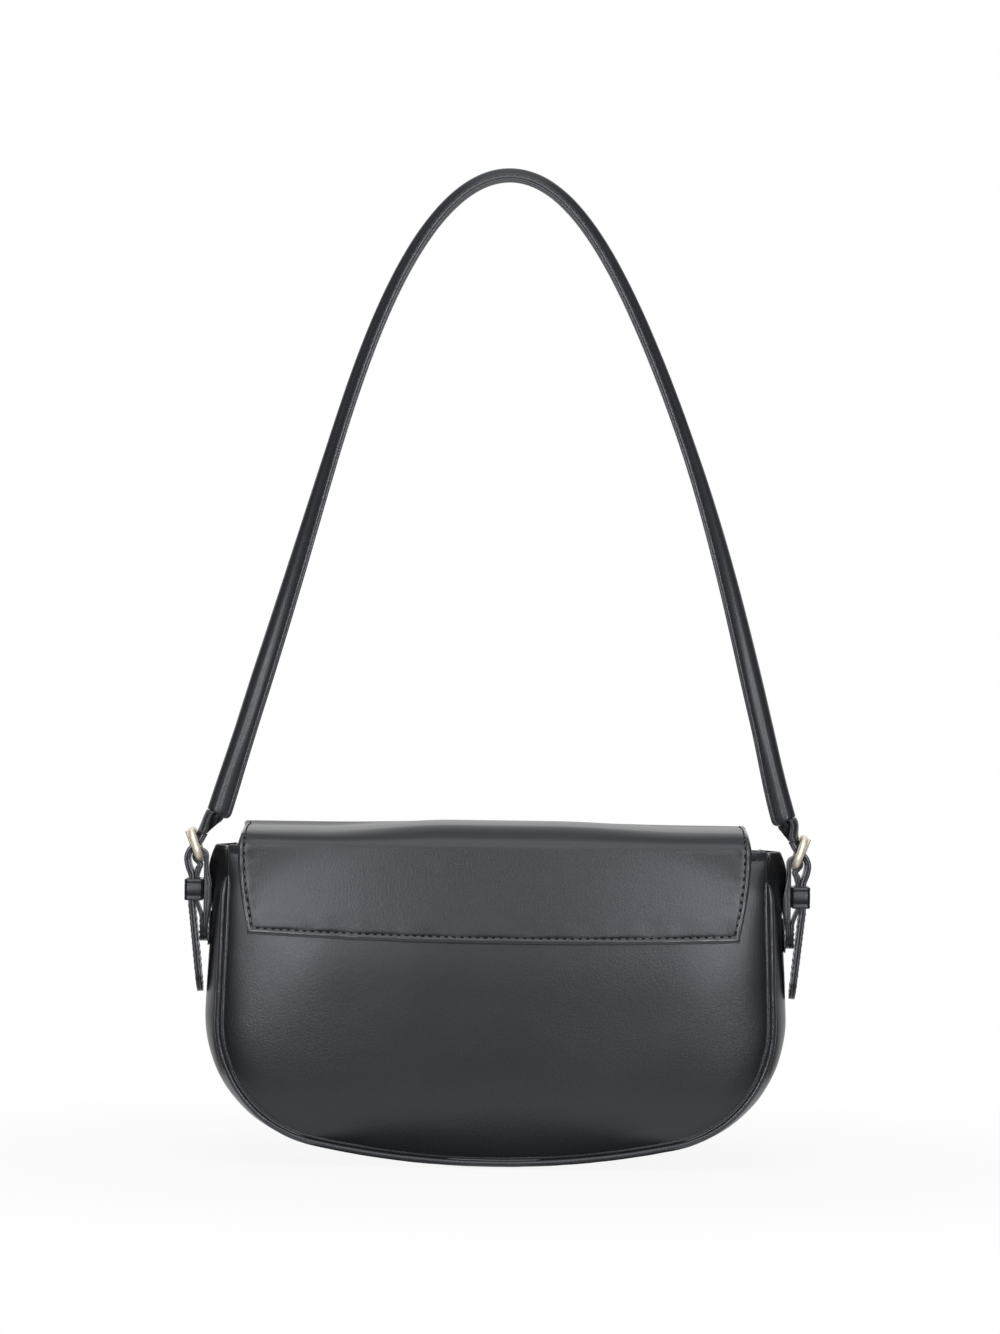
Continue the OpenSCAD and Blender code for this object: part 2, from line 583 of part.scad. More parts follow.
// The roll's open end: a channel of the strap's width that flattens into the strap
neck_n = 6;
neck_cols = 12;
module handle_foot() {
    rows = function (d) [for (k = [0:neck_n]) let (s = k / neck_n, ease = smooth_step(s),
        t = lerp(neck_t, strap_t, s),
        c = lerp(neck_start, neck_end, s) - inward * spine_r * lerp(1, spine_share, ease),
        turn = foot_turn * (1 - ease), r = spine_r / max(1 - ease, 1 / body_w))
        [for (i = [0:neck_cols]) let (a = strap_w * (i / neck_cols - 0.5) / r * 180 / PI,
            p = [r - (r + d * t) * cos(a), (r + d * t) * sin(a)], q = [p[0] * cos(turn) + p[1] * sin(turn),
                p[1] * cos(turn) - p[0] * sin(turn)])
            [c[0] + inward[0] * q[0], q[1], c[1] + inward[1] * q[0]]]];
    skin(rows(0.5), rows(-0.5), true);
}
module handle_foot_left() color(leather) stand() both_sides(false) handle_foot();
module handle_foot_right() color(leather) stand() both_sides(true) handle_foot();

slot_turns = [14, 84]; // from the strap's upper side to its outer side, about the bar
slot_w = 2 * prong_r + 4 * slide_gap;
hole_n = 3;
module strap() difference() {
    intersection() {
        across(strap_w) ribbon(concat(smooth(strap_route), [tail_end]), strap_t);
        rotate([90, 0, 90]) linear_extrude(body_w) {
            translate([-strap_w / 2, tail_end[1] + strap_w / 2]) square([strap_w, body_h]);
            translate([0, tail_end[1] + strap_w / 2]) circle(r = strap_w / 2);
        }
    }
    // slot that the prong passes through and lifts in
    across(slot_w) polygon([for (p = [[0, 0], [0, 1], [1, 1], [1, 0]]) let (a = slot_turns[p[0]])
        bar_c + [chape_r, 2 * bar_off][p[1]] * [sin(a), cos(a)]]);
    for (i = [1:hole_n]) translate([0, 0, keeper_low - hole_step * i]) rotate([0, 90, 0])
        cylinder(r = hole_r, h = body_w);
}
module strap_left() color(leather) stand() both_sides(false) strap();
module strap_right() color(leather) stand() both_sides(true) strap();

// Chape: up from the sewn end, round the bar and down again through the keeper
layer_shares = [[-0.09, -0.22], [-0.085, -0.36], [0.0, -0.5]]; // of the buckle's length, from the bar
joined_x = chape_x + chape_t + layer_t / 2;
module chape() {
    layer_path = concat([for (s = layer_shares) bar_c + s * buckle_l], [[layer_x, keeper_high + ease],
        [layer_x, keeper_z], [layer_x, keeper_low - ease / 2], [(layer_x + joined_x) / 2, keeper_low - bend],
        [joined_x, chape_z + chape_w / 3], [joined_x, chape_z - chape_w / 2]]);
    difference() {
        intersection() {
            across(chape_w) union() {
                translate(bar_c) circle(r = chape_r);
                translate([chape_x, chape_z - chape_w / 2]) square([chape_t, bar_c[1] - chape_z + chape_w / 2]);
                ribbon(smooth(layer_path), layer_t);
            }
            rotate([90, 0, 90]) linear_extrude(body_w) {
                translate([-chape_w / 2, chape_z]) square([chape_w, body_h]);
                translate([0, chape_z]) circle(r = chape_w / 2);
            }
        }
        across(2 * chape_w) translate(bar_c) circle(r = wire_r + seam_gap);
        across(slot_w) translate(bar_c) circle(r = chape_r + seam_gap);
    }
}
module chape_left() color(leather) stand() both_sides(false) chape();
module chape_right() color(leather) stand() both_sides(true) chape();

// Tab under the chape's sewn end, fast on the gusset
tab_t = 0.6;
tab_margin = 1; // past the chape on each side
module side_tab() {
    translate([side_at(chape_z) + seam_gap, 0, chape_z]) rotate([0, -side_lean, 0])
        rotate([90, 0, 90]) linear_extrude(tab_t)
        square([chape_w + 2 * tab_margin, chape_w + 3 * tab_margin], center = true);
}
module side_tab_left() color(leather) stand() both_sides(false) side_tab();
module side_tab_right() color(leather) stand() both_sides(true) side_tab();

// Buckle: a round wire bent to a rectangle, lying in the plane of its tilt
module frame() {
    run_y = buckle_w / 2 - wire_bend_r;
    run_z = bar_off - wire_bend_r;
    translate([frame_c[0], 0, frame_c[1]]) rotate([0, buckle_tilt, 0]) {
        for (s = [-1, 1]) {
            translate([0, s * buckle_w / 2, -run_z]) cylinder(r = wire_r, h = 2 * run_z);
            translate([0, -run_y, s * bar_off]) rotate([-90, 0, 0]) cylinder(r = wire_r, h = 2 * run_y);
        }
        for (k = [0:3]) rotate([90 * k, 0, 0]) {
            y = k % 2 == 0 ? run_y : run_z;
            z = k % 2 == 0 ? run_z : run_y;
            translate([0, y, z]) rotate([90, 0, 90])
                rotate_extrude(angle = 90) translate([wire_bend_r, 0]) circle(r = wire_r);
        }
    }
}
module buckle() difference() {
    frame();
    translate([prong_end[0], 0, prong_end[1]]) rotate([0, prong_lean, 0])
        cylinder(r = prong_r + slide_gap, h = 4 * wire_r, center = true);
}
module buckle_left() color(gold) stand() both_sides(false) buckle();
module buckle_right() color(gold) stand() both_sides(true) buckle();

// Prong: an eye round the heel bar and a pin that rests in its seat on the top bar
eye_share = 1.2; // of the pin's radius, round the bar
eye_r = wire_r + seam_gap + eye_share * prong_r;
prong_start = bar_c + outward * (eye_r - prong_r);
prong_end = bar_c + along * 2 * bar_off + outward * (wire_r + prong_r + slide_gap - seat_h);
prong_lean = atan2(prong_end[0] - prong_start[0], prong_end[1] - prong_start[1]);
module prong() difference() {
    union() {
        across(2 * prong_r) translate(bar_c) circle(r = eye_r);
        translate([prong_start[0], 0, prong_start[1]]) rotate([0, prong_lean, 0])
            cylinder(r = prong_r, h = norm(prong_end - prong_start) + wire_r / 2);
    }
    across(4 * prong_r) translate(bar_c) circle(r = wire_r + seam_gap);
}
module prong_left() color(gold) stand() both_sides(false) prong();
module prong_right() color(gold) stand() both_sides(true) prong();

module rounded(x0, x1, half, r) {
    for (x = [x0 + r, x1 - r]) for (y = [-half + r, half - r]) translate([x, y]) circle(r = r);
    translate([x0 + r, -half]) square([x1 - x0 - 2 * r, 2 * half]);
    translate([x0, -half + r]) square([x1 - x0, 2 * (half - r)]);
}
module keeper() translate([0, 0, keeper_low]) linear_extrude(keeper_h) difference() {
    rounded(cavity_x0 - keeper_t, cavity_x1 + keeper_t, strap_w / 2 + slide_gap + keeper_t, keeper_t);
    translate([cavity_x0, -strap_w / 2 - slide_gap]) square([cavity_x1 - cavity_x0, strap_w + 2 * slide_gap]);
}
module keeper_left() color(leather_edge) stand() both_sides(false) keeper();
module keeper_right() color(leather_edge) stand() both_sides(true) keeper();

back_panel();
front_panel();
gusset();
back_piping();
front_piping();
flap_yoke();
back_lining();
front_lining();
gusset_lining();
back_facing();
front_facing();
slip_pocket();
base_board();
snap_socket();
snap_magnet();
socket_washer();
side_tab_left();
side_tab_right();
flap_top();
flap_top_lining();
flap_front();
flap_front_lining();
snap_stud();
handle_cover();
handle_core();
handle_foot_left();
handle_foot_right();
strap_left();
strap_right();
chape_left();
chape_right();
buckle_left();
buckle_right();
keeper_left();
keeper_right();
prong_left();
prong_right();
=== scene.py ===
import math
import random

import bmesh
import bpy
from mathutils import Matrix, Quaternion, Vector, kdtree, noise


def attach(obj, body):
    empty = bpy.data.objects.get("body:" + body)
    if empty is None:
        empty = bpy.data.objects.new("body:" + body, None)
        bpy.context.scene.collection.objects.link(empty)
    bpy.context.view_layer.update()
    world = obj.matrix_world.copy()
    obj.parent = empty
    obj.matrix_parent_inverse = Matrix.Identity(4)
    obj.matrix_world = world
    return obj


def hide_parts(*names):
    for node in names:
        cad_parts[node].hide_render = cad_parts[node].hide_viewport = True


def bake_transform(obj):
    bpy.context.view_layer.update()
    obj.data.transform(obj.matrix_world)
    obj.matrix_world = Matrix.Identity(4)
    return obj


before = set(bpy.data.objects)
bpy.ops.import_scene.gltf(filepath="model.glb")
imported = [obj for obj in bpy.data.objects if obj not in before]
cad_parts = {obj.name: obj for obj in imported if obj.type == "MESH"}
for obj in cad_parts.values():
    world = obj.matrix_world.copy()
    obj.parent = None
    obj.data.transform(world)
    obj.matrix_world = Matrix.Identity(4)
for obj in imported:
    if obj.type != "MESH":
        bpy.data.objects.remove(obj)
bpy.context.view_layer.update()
print("frame loaded:", len(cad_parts), "nodes")

mm = 0.001


# Small helpers for lengths in millimetres
def lerp(a, b, s):
    return a + (b - a) * s


def clamp(s, low=0.0, high=1.0):
    return min(max(s, low), high)


def ease(s):
    s = clamp(s)
    return s * s * (3 - 2 * s)


def spread(low, high, count):
    return [lerp(low, high, i / count) for i in range(count + 1)]


def turnsOf(low, high, count):
    # even turns in radians between two angles in degrees
    return [math.radians(a) for a in spread(low, high, count)]


def bell(x, width):
    return math.exp(-((x / width) ** 2))


def softNoise(x, y, z, size):
    return noise.noise(Vector((x / size, y / size, z / size)))


def plus(p, d, s=1.0):
    return p[0] + d[0] * s, p[1] + d[1] * s


# Camera at the photograph's height and distance; the bag leans a little in the picture
view = {"distance": 2500.0, "elevation": 0.4, "roll": 0.8, "mmPerPixel": 0.4483, "pixels": 1334,
        "targetX": -0.2, "targetZ": 222.4, "sensor": 36.0}


def makeCamera():
    data = bpy.data.cameras.new("camera")
    data.sensor_width = view["sensor"]
    data.lens = view["sensor"] * view["distance"] / (view["mmPerPixel"] * view["pixels"])
    data.clip_start, data.clip_end = 0.1, 20
    camera = bpy.data.objects.new("camera", data)
    bpy.context.scene.collection.objects.link(camera)
    up = math.radians(view["elevation"])
    back = Vector((0, -math.cos(up), math.sin(up)))
    camera.location = (Vector((view["targetX"], 0, view["targetZ"])) + back * view["distance"]) * mm
    camera.rotation_mode = "QUATERNION"
    roll = Quaternion(back, math.radians(view["roll"]))
    camera.rotation_quaternion = roll @ (-back).to_track_quat("-Z", "Y")
    bpy.context.scene.camera = camera


makeCamera()
print("camera placed")


# Shader maths: a wrapped socket with the usual operators
class Wire:
    def __init__(self, tree, socket):
        self.tree = tree
        self.socket = socket

    def math(self, operation, *others):
        return self.tree.node("ShaderNodeMath", {"operation": operation}, dict(enumerate([self, *others])))

    def __add__(self, other):
        return self.math("ADD", other)

    def __sub__(self, other):
        return self.math("SUBTRACT", other)

    def __mul__(self, other):
        return self.math("MULTIPLY", other)

    def __truediv__(self, other):
        return self.math("DIVIDE", other)


    def clamped(self):
        return self.math("MAXIMUM", 0.0).math("MINIMUM", 1.0)


class Finish:
    def __init__(self, name, kind="Material", shader="ShaderNodeBsdfPrincipled", uniform=None):
        self.material = (bpy.data.worlds if kind == "World" else bpy.data.materials).new(name)
        self.material.use_nodes = True
        self.tree = self.material.node_tree
        self.tree.nodes.clear()
        self.surface = self.node(shader, None, uniform)
        self.shader = self.surface.socket.node
        self.out = self.node("ShaderNodeOutput" + kind, None, {0: self.surface}, out=None)

    def node(self, kind, settings=None, sockets=None, out=0, to=None):
        made = self.tree.nodes.new(kind)
        for key, value in (settings or {}).items():
            setattr(made, key, value)
        for key, value in (sockets or {}).items():
            if isinstance(value, Wire):
                self.tree.links.new(value.socket, made.inputs[key])
            else:
                made.inputs[key].default_value = value
        if to:
            self.tree.links.new(made.outputs[0], to.inputs[0])
        return made if out is None else Wire(self, made.outputs[out])

    def feed(self, colour, roughness, normal):
        for name, wire in (("Base Color", colour), ("Roughness", roughness), ("Normal", normal)):
            self.tree.links.new(wire.socket, self.shader.inputs[name])
        return self.material

    def place(self):
        return self.node("ShaderNodeTexCoord", out=3)

    def stretched(self, scale):
        return self.node("ShaderNodeVectorMath", {"operation": "MULTIPLY"}, {0: self.place(), 1: scale})

    def noise(self, scale, detail=2.0, rough=0.5, at=None):
        sockets = {"Vector": at or self.place(), "Scale": scale, "Detail": detail, "Roughness": rough}
        return self.node("ShaderNodeTexNoise", {"noise_dimensions": "3D"}, sockets)

    def bands(self, direction, scale, distortion):
        settings = {"wave_type": "BANDS", "bands_direction": direction}
        sockets = {"Vector": self.place(), "Scale": scale, "Distortion": distortion, "Detail": 1.0}
        return self.node("ShaderNodeTexWave", settings, sockets, out=1)

    def mixed(self, share, *pair):
        a, b = [c if isinstance(c, Wire) else (*c, 1) for c in pair]
        return self.node("ShaderNodeMix", {"data_type": "RGBA"}, {0: share, 6: a, 7: b}, out=2)

    def bump(self, height, size, under=None):
        sockets = {"Height": height, "Strength": size[0], "Distance": size[1]}
        if under:
            sockets["Normal"] = under
        return self.node("ShaderNodeBump", None, sockets)

    def mark(self, name):
        return self.node("ShaderNodeAttribute", {"attribute_name": name}, out=2)

    def seen(self):
        # 1 where the background is looked at, reflected or seen through something
        camera, gloss, through = [self.node("ShaderNodeLightPath", out="Is %s Ray" % kind)
                                  for kind in ("Camera", "Glossy", "Transmission")]
        return camera.math("MAXIMUM", gloss).math("MAXIMUM", through)


def toned(colour, tone):
    return tuple(tone * c for c in colour)


# Leather: fine pebbled grain, a light satin sheen, edges rubbed a little lighter, and painted highlights in
# the same lighter colour on the piping, the gusset's ridge and the flap's stitched strip. Here and below a
# noise is given by its scale, detail and roughness, and a bump by its strength and depth
leather = {"dark": (0.0082, 0.0084, 0.0097), "light": (0.0132, 0.0136, 0.0156),
           "wornAndLit": (0.042, 0.043, 0.047), "specular": 0.54, "tint": (0.87, 0.915, 1.0, 1), "roughness": 0.235,
           "cloudRough": 0.06, "fineRough": 0.08, "wornAndLitRough": 0.1, "clouds": (9.0, 3.0), "cloudSpan": 1.6,
           "cloudLow": -0.3, "fine": (1500.0, 3.0, 0.6), "fineSpan": 0.2, "pores": 620.0, "poreEdge": 6.0,
           "poreShare": 0.45, "grain": (0.5, 0.00005), "creases": (95.0, 4.0, 0.62),
           "crease": (0.32, 0.00007), "wornAndLitLow": 0.55, "wornAndLitSpan": 0.9, "wornAndLitMost": 0.7}


def leatherFinish(name, tone=1.0, rough=0.0, grain=1.0):
    f = Finish(name, uniform={"Specular IOR Level": leather["specular"], "Specular Tint": leather["tint"]})
    dark, light, wornAndLit = [toned(leather[key], tone) for key in ("dark", "light", "wornAndLit")]
    cloud, fine, crease = [f.noise(*leather[key]) for key in ("clouds", "fine", "creases")]
    pores = f.node("ShaderNodeTexVoronoi", {"feature": "DISTANCE_TO_EDGE"},
                   {"Vector": f.place(), "Scale": leather["pores"] * grain})
    # the mark lightens the colour: edge wear at the rims, and painted highlight where the piping, the
    # gusset's ridge and the flap's stitched strip would catch the light
    wear_and_highlight = (f.mark("wear_and_highlight") * (cloud * leather["wornAndLitSpan"] + leather["wornAndLitLow"])).clamped()
    share = (cloud * leather["cloudSpan"] + leather["cloudLow"] + fine * leather["fineSpan"]).clamped()
    colour = f.mixed(wear_and_highlight * leather["wornAndLitMost"], f.mixed(share, dark, light), wornAndLit)
    pebble = (pores * leather["poreEdge"]).clamped() * leather["poreShare"]
    height = fine * (1 - leather["poreShare"]) + pebble
    roughness = cloud * leather["cloudRough"] + fine * leather["fineRough"] + (leather["roughness"] + rough)
    return f.feed(colour, roughness - wear_and_highlight * leather["wornAndLitRough"],
                  f.bump(crease, leather["crease"], f.bump(height, leather["grain"])))


thread = {"dark": (0.004, 0.004, 0.0046), "light": (0.011, 0.011, 0.0125), "specular": 0.08, "turns": 866.67,
          "roughness": 0.45, "roughSpan": 0.15, "bump": (0.5, 0.0001)}


def threadFinish(name, tone=1.0):
    f = Finish(name, uniform={"Specular IOR Level": thread["specular"]})
    ply = f.bands("DIAGONAL", thread["turns"], 1.0)
    return f.feed(f.mixed(ply, toned(thread["dark"], tone), toned(thread["light"], tone)),
                  ply * thread["roughSpan"] + thread["roughness"], f.bump(ply, thread["bump"]))


cloth = {"dark": (0.030, 0.026, 0.024), "light": (0.062, 0.055, 0.050), "specular": 0.2, "sheen": 0.35,
         "sheenRoughness": 0.45, "weave": 316.67, "distortion": 0.6, "clouds": (40.0, 4.0), "weaveShare": 0.7,
         "cloudShare": 0.5, "low": -0.1, "roughness": 0.95, "roughSpan": -0.15, "cloudRise": 0.6,
         "bump": (0.5, 0.00012)}


def clothFinish(name):
    f = Finish(name, uniform={"Specular IOR Level": cloth["specular"], "Sheen Weight": cloth["sheen"],
                              "Sheen Roughness": cloth["sheenRoughness"]})
    warp, weft = [f.bands(direction, cloth["weave"], cloth["distortion"]) for direction in "XZ"]
    cloud = f.noise(*cloth["clouds"])
    weave = warp * 0.5 + weft * 0.5
    share = (weave * cloth["weaveShare"] + cloud * cloth["cloudShare"] + cloth["low"]).clamped()
    return f.feed(f.mixed(share, cloth["dark"], cloth["light"]),
                  weave * cloth["roughSpan"] + cloth["roughness"],
                  f.bump(weave + cloud * cloth["cloudRise"], cloth["bump"]))


gold = {"light": (0.96, 0.9, 0.75), "deep": (0.92, 0.83, 0.65), "metallic": 0.55,
        "clouds": (160.0, 3.0), "cloudSpan": 1.4, "cloudLow": -0.35, "brush": (1.0, 2.0, 0.5),
        "stretch": (3000.0, 400.0, 3000.0), "roughness": 0.34, "brushRough": 0.12, "cloudRough": 0.08,
        "bump": (0.05, 0.00002)}


def goldFinish(name):
    f = Finish(name, uniform={"Metallic": gold["metallic"]})
    cloud, brush = f.noise(*gold["clouds"]), f.noise(*gold["brush"], f.stretched(gold["stretch"]))
    share = (cloud * gold["cloudSpan"] + gold["cloudLow"]).clamped()
    return f.feed(f.mixed(share, gold["light"], gold["deep"]),
                  brush * gold["brushRough"] + cloud * gold["cloudRough"] + gold["roughness"],
                  f.bump(brush, gold["bump"]))


# Plain stuffs: one noise, stretched by so much along each axis, drives colour, roughness and bump
stuffs = {
    "magnet_steel": {"uniform": {"Metallic": 1.0}, "stretch": (1400.0, 1400.0, 1400.0),
                     "grain": (1.0, 3.0, 0.5), "dark": (0.09, 0.09, 0.095), "light": (0.2, 0.2, 0.205),
                     "roughness": 0.35, "roughSpan": 0.3, "bump": (0.3, 0.00008)},
    "grey_board": {"uniform": {"Specular IOR Level": 0.2}, "stretch": (120.0, 900.0, 900.0),
                   "grain": (1.0, 4.0, 0.65), "dark": (0.16, 0.12, 0.085), "light": (0.33, 0.27, 0.20),
                   "roughness": 0.78, "roughSpan": 0.15, "bump": (0.5, 0.0002)},
    "filler_cord": {"uniform": {"Specular IOR Level": 0.2, "Sheen Weight": 0.2},
                    "stretch": (900.0, 900.0, 160.0), "grain": (1.0, 3.0, 0.6), "dark": (0.24, 0.22, 0.19),
                    "light": (0.5, 0.47, 0.41), "roughness": 0.85, "roughSpan": -0.1, "bump": (0.6, 0.0002)},
}


def stuffFinish(name):
    stuff = stuffs[name]
    f = Finish(name, uniform=stuff["uniform"])
    grain = f.noise(*stuff["grain"], f.stretched(stuff["stretch"]))
    return f.feed(f.mixed(grain, stuff["dark"], stuff["light"]),
                  grain * stuff["roughSpan"] + stuff["roughness"], f.bump(grain, stuff["bump"]))


# Lit and shaded copies of one black leather: the gusset is painted darker as shade on the bag's sides, the
# handle lighter as painted sheen and the piping lighter as a painted highlight, with the flap a little
# lighter; the handle's thread is painted lighter along with its leather
finishes = {
    "panel": leatherFinish("panel_leather"),
    "flap": leatherFinish("flap_leather", tone=1.05),
    "gusset": leatherFinish("gusset_leather_painted_shade", tone=0.7, rough=0.03),
    "piping": leatherFinish("piping_leather_painted_highlight", tone=1.1, rough=-0.04, grain=1.2),
    "handle": leatherFinish("handle_leather_painted_sheen", tone=2.2, rough=0.03, grain=1.2),
    "strap": leatherFinish("strap_leather", rough=0.03),
    "thread": threadFinish("black_thread"),
    "handleThread": threadFinish("handle_thread_painted_sheen", tone=5.0),
    "liningThread": threadFinish("lining_thread", tone=6.0),
    "cloth": clothFinish("twill_lining"),
    "gold": goldFinish("pale_gold_metal"),
    "magnet": stuffFinish("magnet_steel"),
    "board": stuffFinish("grey_board"),
    "cord": stuffFinish("filler_cord"),
}
print("finishes made:", len(finishes))

# The bag's own sizes, as in its solid model, then the flap's, with its folds, crown and soft waves
bag = {"width": 260.0, "height": 141.5, "depth": 56.0, "cornerR": 59.0, "bottomR": 385.0, "sideLean": 3.0,
       "sideSwell": 8.5, "bottomSwell": 4.8, "panelLean": 1.7, "panelSwell": 5.0, "restFlat": 0.8,
       "panelT": 1.8, "gussetT": 1.6, "liningT": 0.8, "liningGap": 1.2, "facingH": 24.0, "seamGap": 0.1,
       "sheetGap": 0.3, "slideGap": 0.3, "liftX": 1.02, "liftZ": 0.535, "liftPower": 3.0, "liftSoft": 0.02}
flap = {"width": 227.4, "lowWidth": 218.2, "foldR": 11.0, "yokeH": 38.9, "yokeBow": 2.4, "yokeTilt": 0.58,
        "aside": -1.4, "drop": 104.0, "cornerR": 38.0, "t": 1.6, "lift": 0.7, "bulge": 0.25, "snapZ": 61.977,
        "hingeTurn": 45.0, "crownIn": 0.4, "dome": 0.3, "domeEnd": 1.0, "curl": 3.4, "curlReach": 3.8,
        "wave": 0.55, "waveTop": 14.0, "waveLow": 12.0}
snap = {"socketH": 2.0, "plateT": 0.8}

panelHalf = bag["width"] / 2 - bag["sideSwell"]
panelLow = bag["bottomSwell"] - bag["restFlat"]
panelCorner = bag["cornerR"] - (bag["sideSwell"] + bag["bottomSwell"]) / 2
midZ = (panelLow + bag["height"]) / 2
reachX = bag["liftX"] * panelHalf
reachZ = bag["liftZ"] * (bag["height"] - panelLow)


def swell(x, z):
    a, b = abs(x) / reachX, abs(z - midZ) / reachZ
    rise = 1 - (a ** bag["liftPower"] + b ** bag["liftPower"]) ** (2 / bag["liftPower"])
    return bag["panelSwell"] * (rise + math.sqrt(rise * rise + bag["liftSoft"])) / 2


def faceY(x, z):
    return bag["depth"] / 2 + swell(x, z)


flapStack = bag["liningT"] + bag["seamGap"] + flap["t"]
snapStack = bag["seamGap"] + snap["socketH"] + bag["slideGap"] + snap["plateT"] + 2 * bag["sheetGap"]
yokeTop = bag["height"] - bag["seamGap"]
yokeLow = yokeTop - flap["yokeH"] - flap["yokeBow"]
backReach = max(faceY(0, midZ), faceY(0, yokeLow) + bag["sheetGap"] + flap["t"])
frontReach = faceY(0, flap["snapZ"]) + snapStack + flapStack
shiftY = (backReach - frontReach) / 2
mouthSwell = swell(0, bag["height"])
foldZ = bag["height"] + bag["seamGap"] + bag["slideGap"]
backFace = bag["depth"] / 2 + mouthSwell + bag["sheetGap"] + flap["t"]
frontFace = bag["depth"] / 2 + mouthSwell + flap["lift"] + flapStack


# Meshes
def addMesh(name, points, faces, marks=None, levels=0):
    mesh = bpy.data.meshes.new(name)
    mesh.from_pydata([(p[0] * mm, (p[1] + shiftY) * mm, p[2] * mm) for p in points], [], faces)
    if marks:
        layer = mesh.attributes.new("wear_and_highlight", "FLOAT", "POINT")
        layer.data.foreach_set("value", marks)
    obj = bpy.data.objects.new(name, mesh)
    bpy.context.scene.collection.objects.link(obj)
    work = bmesh.new()
    work.from_mesh(mesh)
    bmesh.ops.remove_doubles(work, verts=work.verts, dist=1e-7)
    bmesh.ops.recalc_face_normals(work, faces=work.faces)
    work.to_mesh(mesh)
    work.free()
    if levels:
        modifier = obj.modifiers.new("rounding", "SUBSURF")
        modifier.levels = modifier.render_levels = levels
        applyModifiers(obj)
    obj.data.shade_smooth()
    return obj


def applyModifiers(obj):
    graph = bpy.context.evaluated_depsgraph_get()
    made = bpy.data.meshes.new_from_object(obj.evaluated_get(graph))
    obj.modifiers.clear()
    obj.data = made


# Edges that turn by more than this many degrees stay sharp
sharpFrom = {"cut": 40.0, "kept": 35.0}


def cut(obj, cutters):
    for cutter in cutters:
        modifier = obj.modifiers.new("cut", "BOOLEAN")
        modifier.operation = "DIFFERENCE"
        modifier.solver = "EXACT"
        modifier.object = cutter
    applyModifiers(obj)
    for cutter in cutters:
        bpy.data.objects.remove(cutter)
    smoothByAngle(obj, sharpFrom["cut"])


def smoothByAngle(obj, degrees):
    obj.data.shade_smooth()
    work = bmesh.new()
    work.from_mesh(obj.data)
    limit = math.radians(degrees)
    for e in work.edges:
        e.smooth = not (len(e.link_faces) == 2 and e.calc_face_angle(0.0) > limit)
    work.to_mesh(obj.data)
    work.free()


def settle(obj, finish, body, *nodes, slot="black_leather"):
    # body is the name of one body; the values of a blend between two are not used, and such a piece only has
    # its place baked in
    obj.data.materials.clear()
    obj.data.materials.append(finishes[finish])
    if nodes:
        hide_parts(*nodes)
    if isinstance(body, str):
        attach(obj, body)
    else:
        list(body)
        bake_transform(obj)
    return obj


def sheetMesh(name, rows, place, t, wornAndLit=None):
    # rows hold parameter pairs; place(pair, depth) gives a point at a depth below the outer face
    nv, nu = len(rows), len(rows[0])
    outer, inner = [[place(p, depth) for row in rows for p in row] for depth in (0.0, t)]
    ring = [(0, i) for i in range(nu)] + [(j, nu - 1) for j in range(1, nv)]
    ring += [(nv - 1, i) for i in range(nu - 2, -1, -1)] + [(j, 0) for j in range(nv - 2, 0, -1)]
    middle = [place(rows[j][i], t / 2) for j, i in ring]
    count = nv * nu
    faces = []
    for j in range(nv - 1):
        for i in range(nu - 1):
            a = j * nu + i
            faces.append((a, a + 1, a + nu + 1, a + nu))
            faces.append((count + a, count + a + nu, count + a + nu + 1, count + a + 1))
    rim = [j * nu + i for j, i in ring]
    for k, a in enumerate(rim):
        b, m, n = rim[(k + 1) % len(rim)], 2 * count + k, 2 * count + (k + 1) % len(rim)
        faces += [(a, m, n, b), (m, count + a, count + b, n)]
    marks = [0.0] * count
    for k in rim:
        marks[k] = 1.0
    # the optional function gives painted highlight marks on raised strips and ridges; the rim's marks are
    # edge wear
    paintedHighlight = [wornAndLit(*p) if wornAndLit else 0.0 for row in rows for p in row]
    marks = [max(pair) for pair in zip(marks, paintedHighlight)] + marks + [1.0] * len(ring)
    return addMesh(name, outer + inner + middle, faces, marks, levels=1)


def flat(rings):
    return [p for ring in rings for p in ring]


def ringFaces(n, count, start=0):
    # between neighbours of a row of rings with n points each
    pairs = [(start + j * n + i, start + j * n + (i + 1) % n) for j in range(count - 1) for i in range(n)]
    return [(a, b, b + n, a + n) for a, b in pairs]


def endFaces(n, count, start=0):
    return [tuple(start + k + i for i in range(n)) for k in (0, (count - 1) * n)]


def loftMesh(name, rings, marks=None, levels=0):
    n, count = len(rings[0]), len(rings)
    return addMesh(name, flat(rings), ringFaces(n, count) + endFaces(n, count), marks, levels)


def hollowLoft(name, rings, bores, marks):
    n, count = len(rings[0]), len(rings)
    m = n * count
    faces = ringFaces(n, count) + [(a, d, c, b) for a, b, c, d in ringFaces(n, count, m)]
    for base in (0, m - n):
        pairs = [(base + i, base + (i + 1) % n) for i in range(n)]
        faces += [(a, m + a, m + b, b) for a, b in pairs]
    return addMesh(name, flat(rings + bores), faces, marks, levels=1)


# Thread: short rounded stitches laid along a path of (point, normal), uneven by a few hundredths.
# Each piece's "thread" gives their pitch, length, radius and how far they are sunk
stitch = {"uneven": 0.07, "skew": 0.05, "seed": 3, "sides": 6, "flat": 0.8, "rise": 0.45,
          "profile": [(0.0, 0.25, -0.9), (0.1, 0.8, -0.25), (0.32, 1.0, 0.1), (0.68, 1.0, 0.1),
                      (0.9, 0.8, -0.25), (1.0, 0.25, -0.9)]}


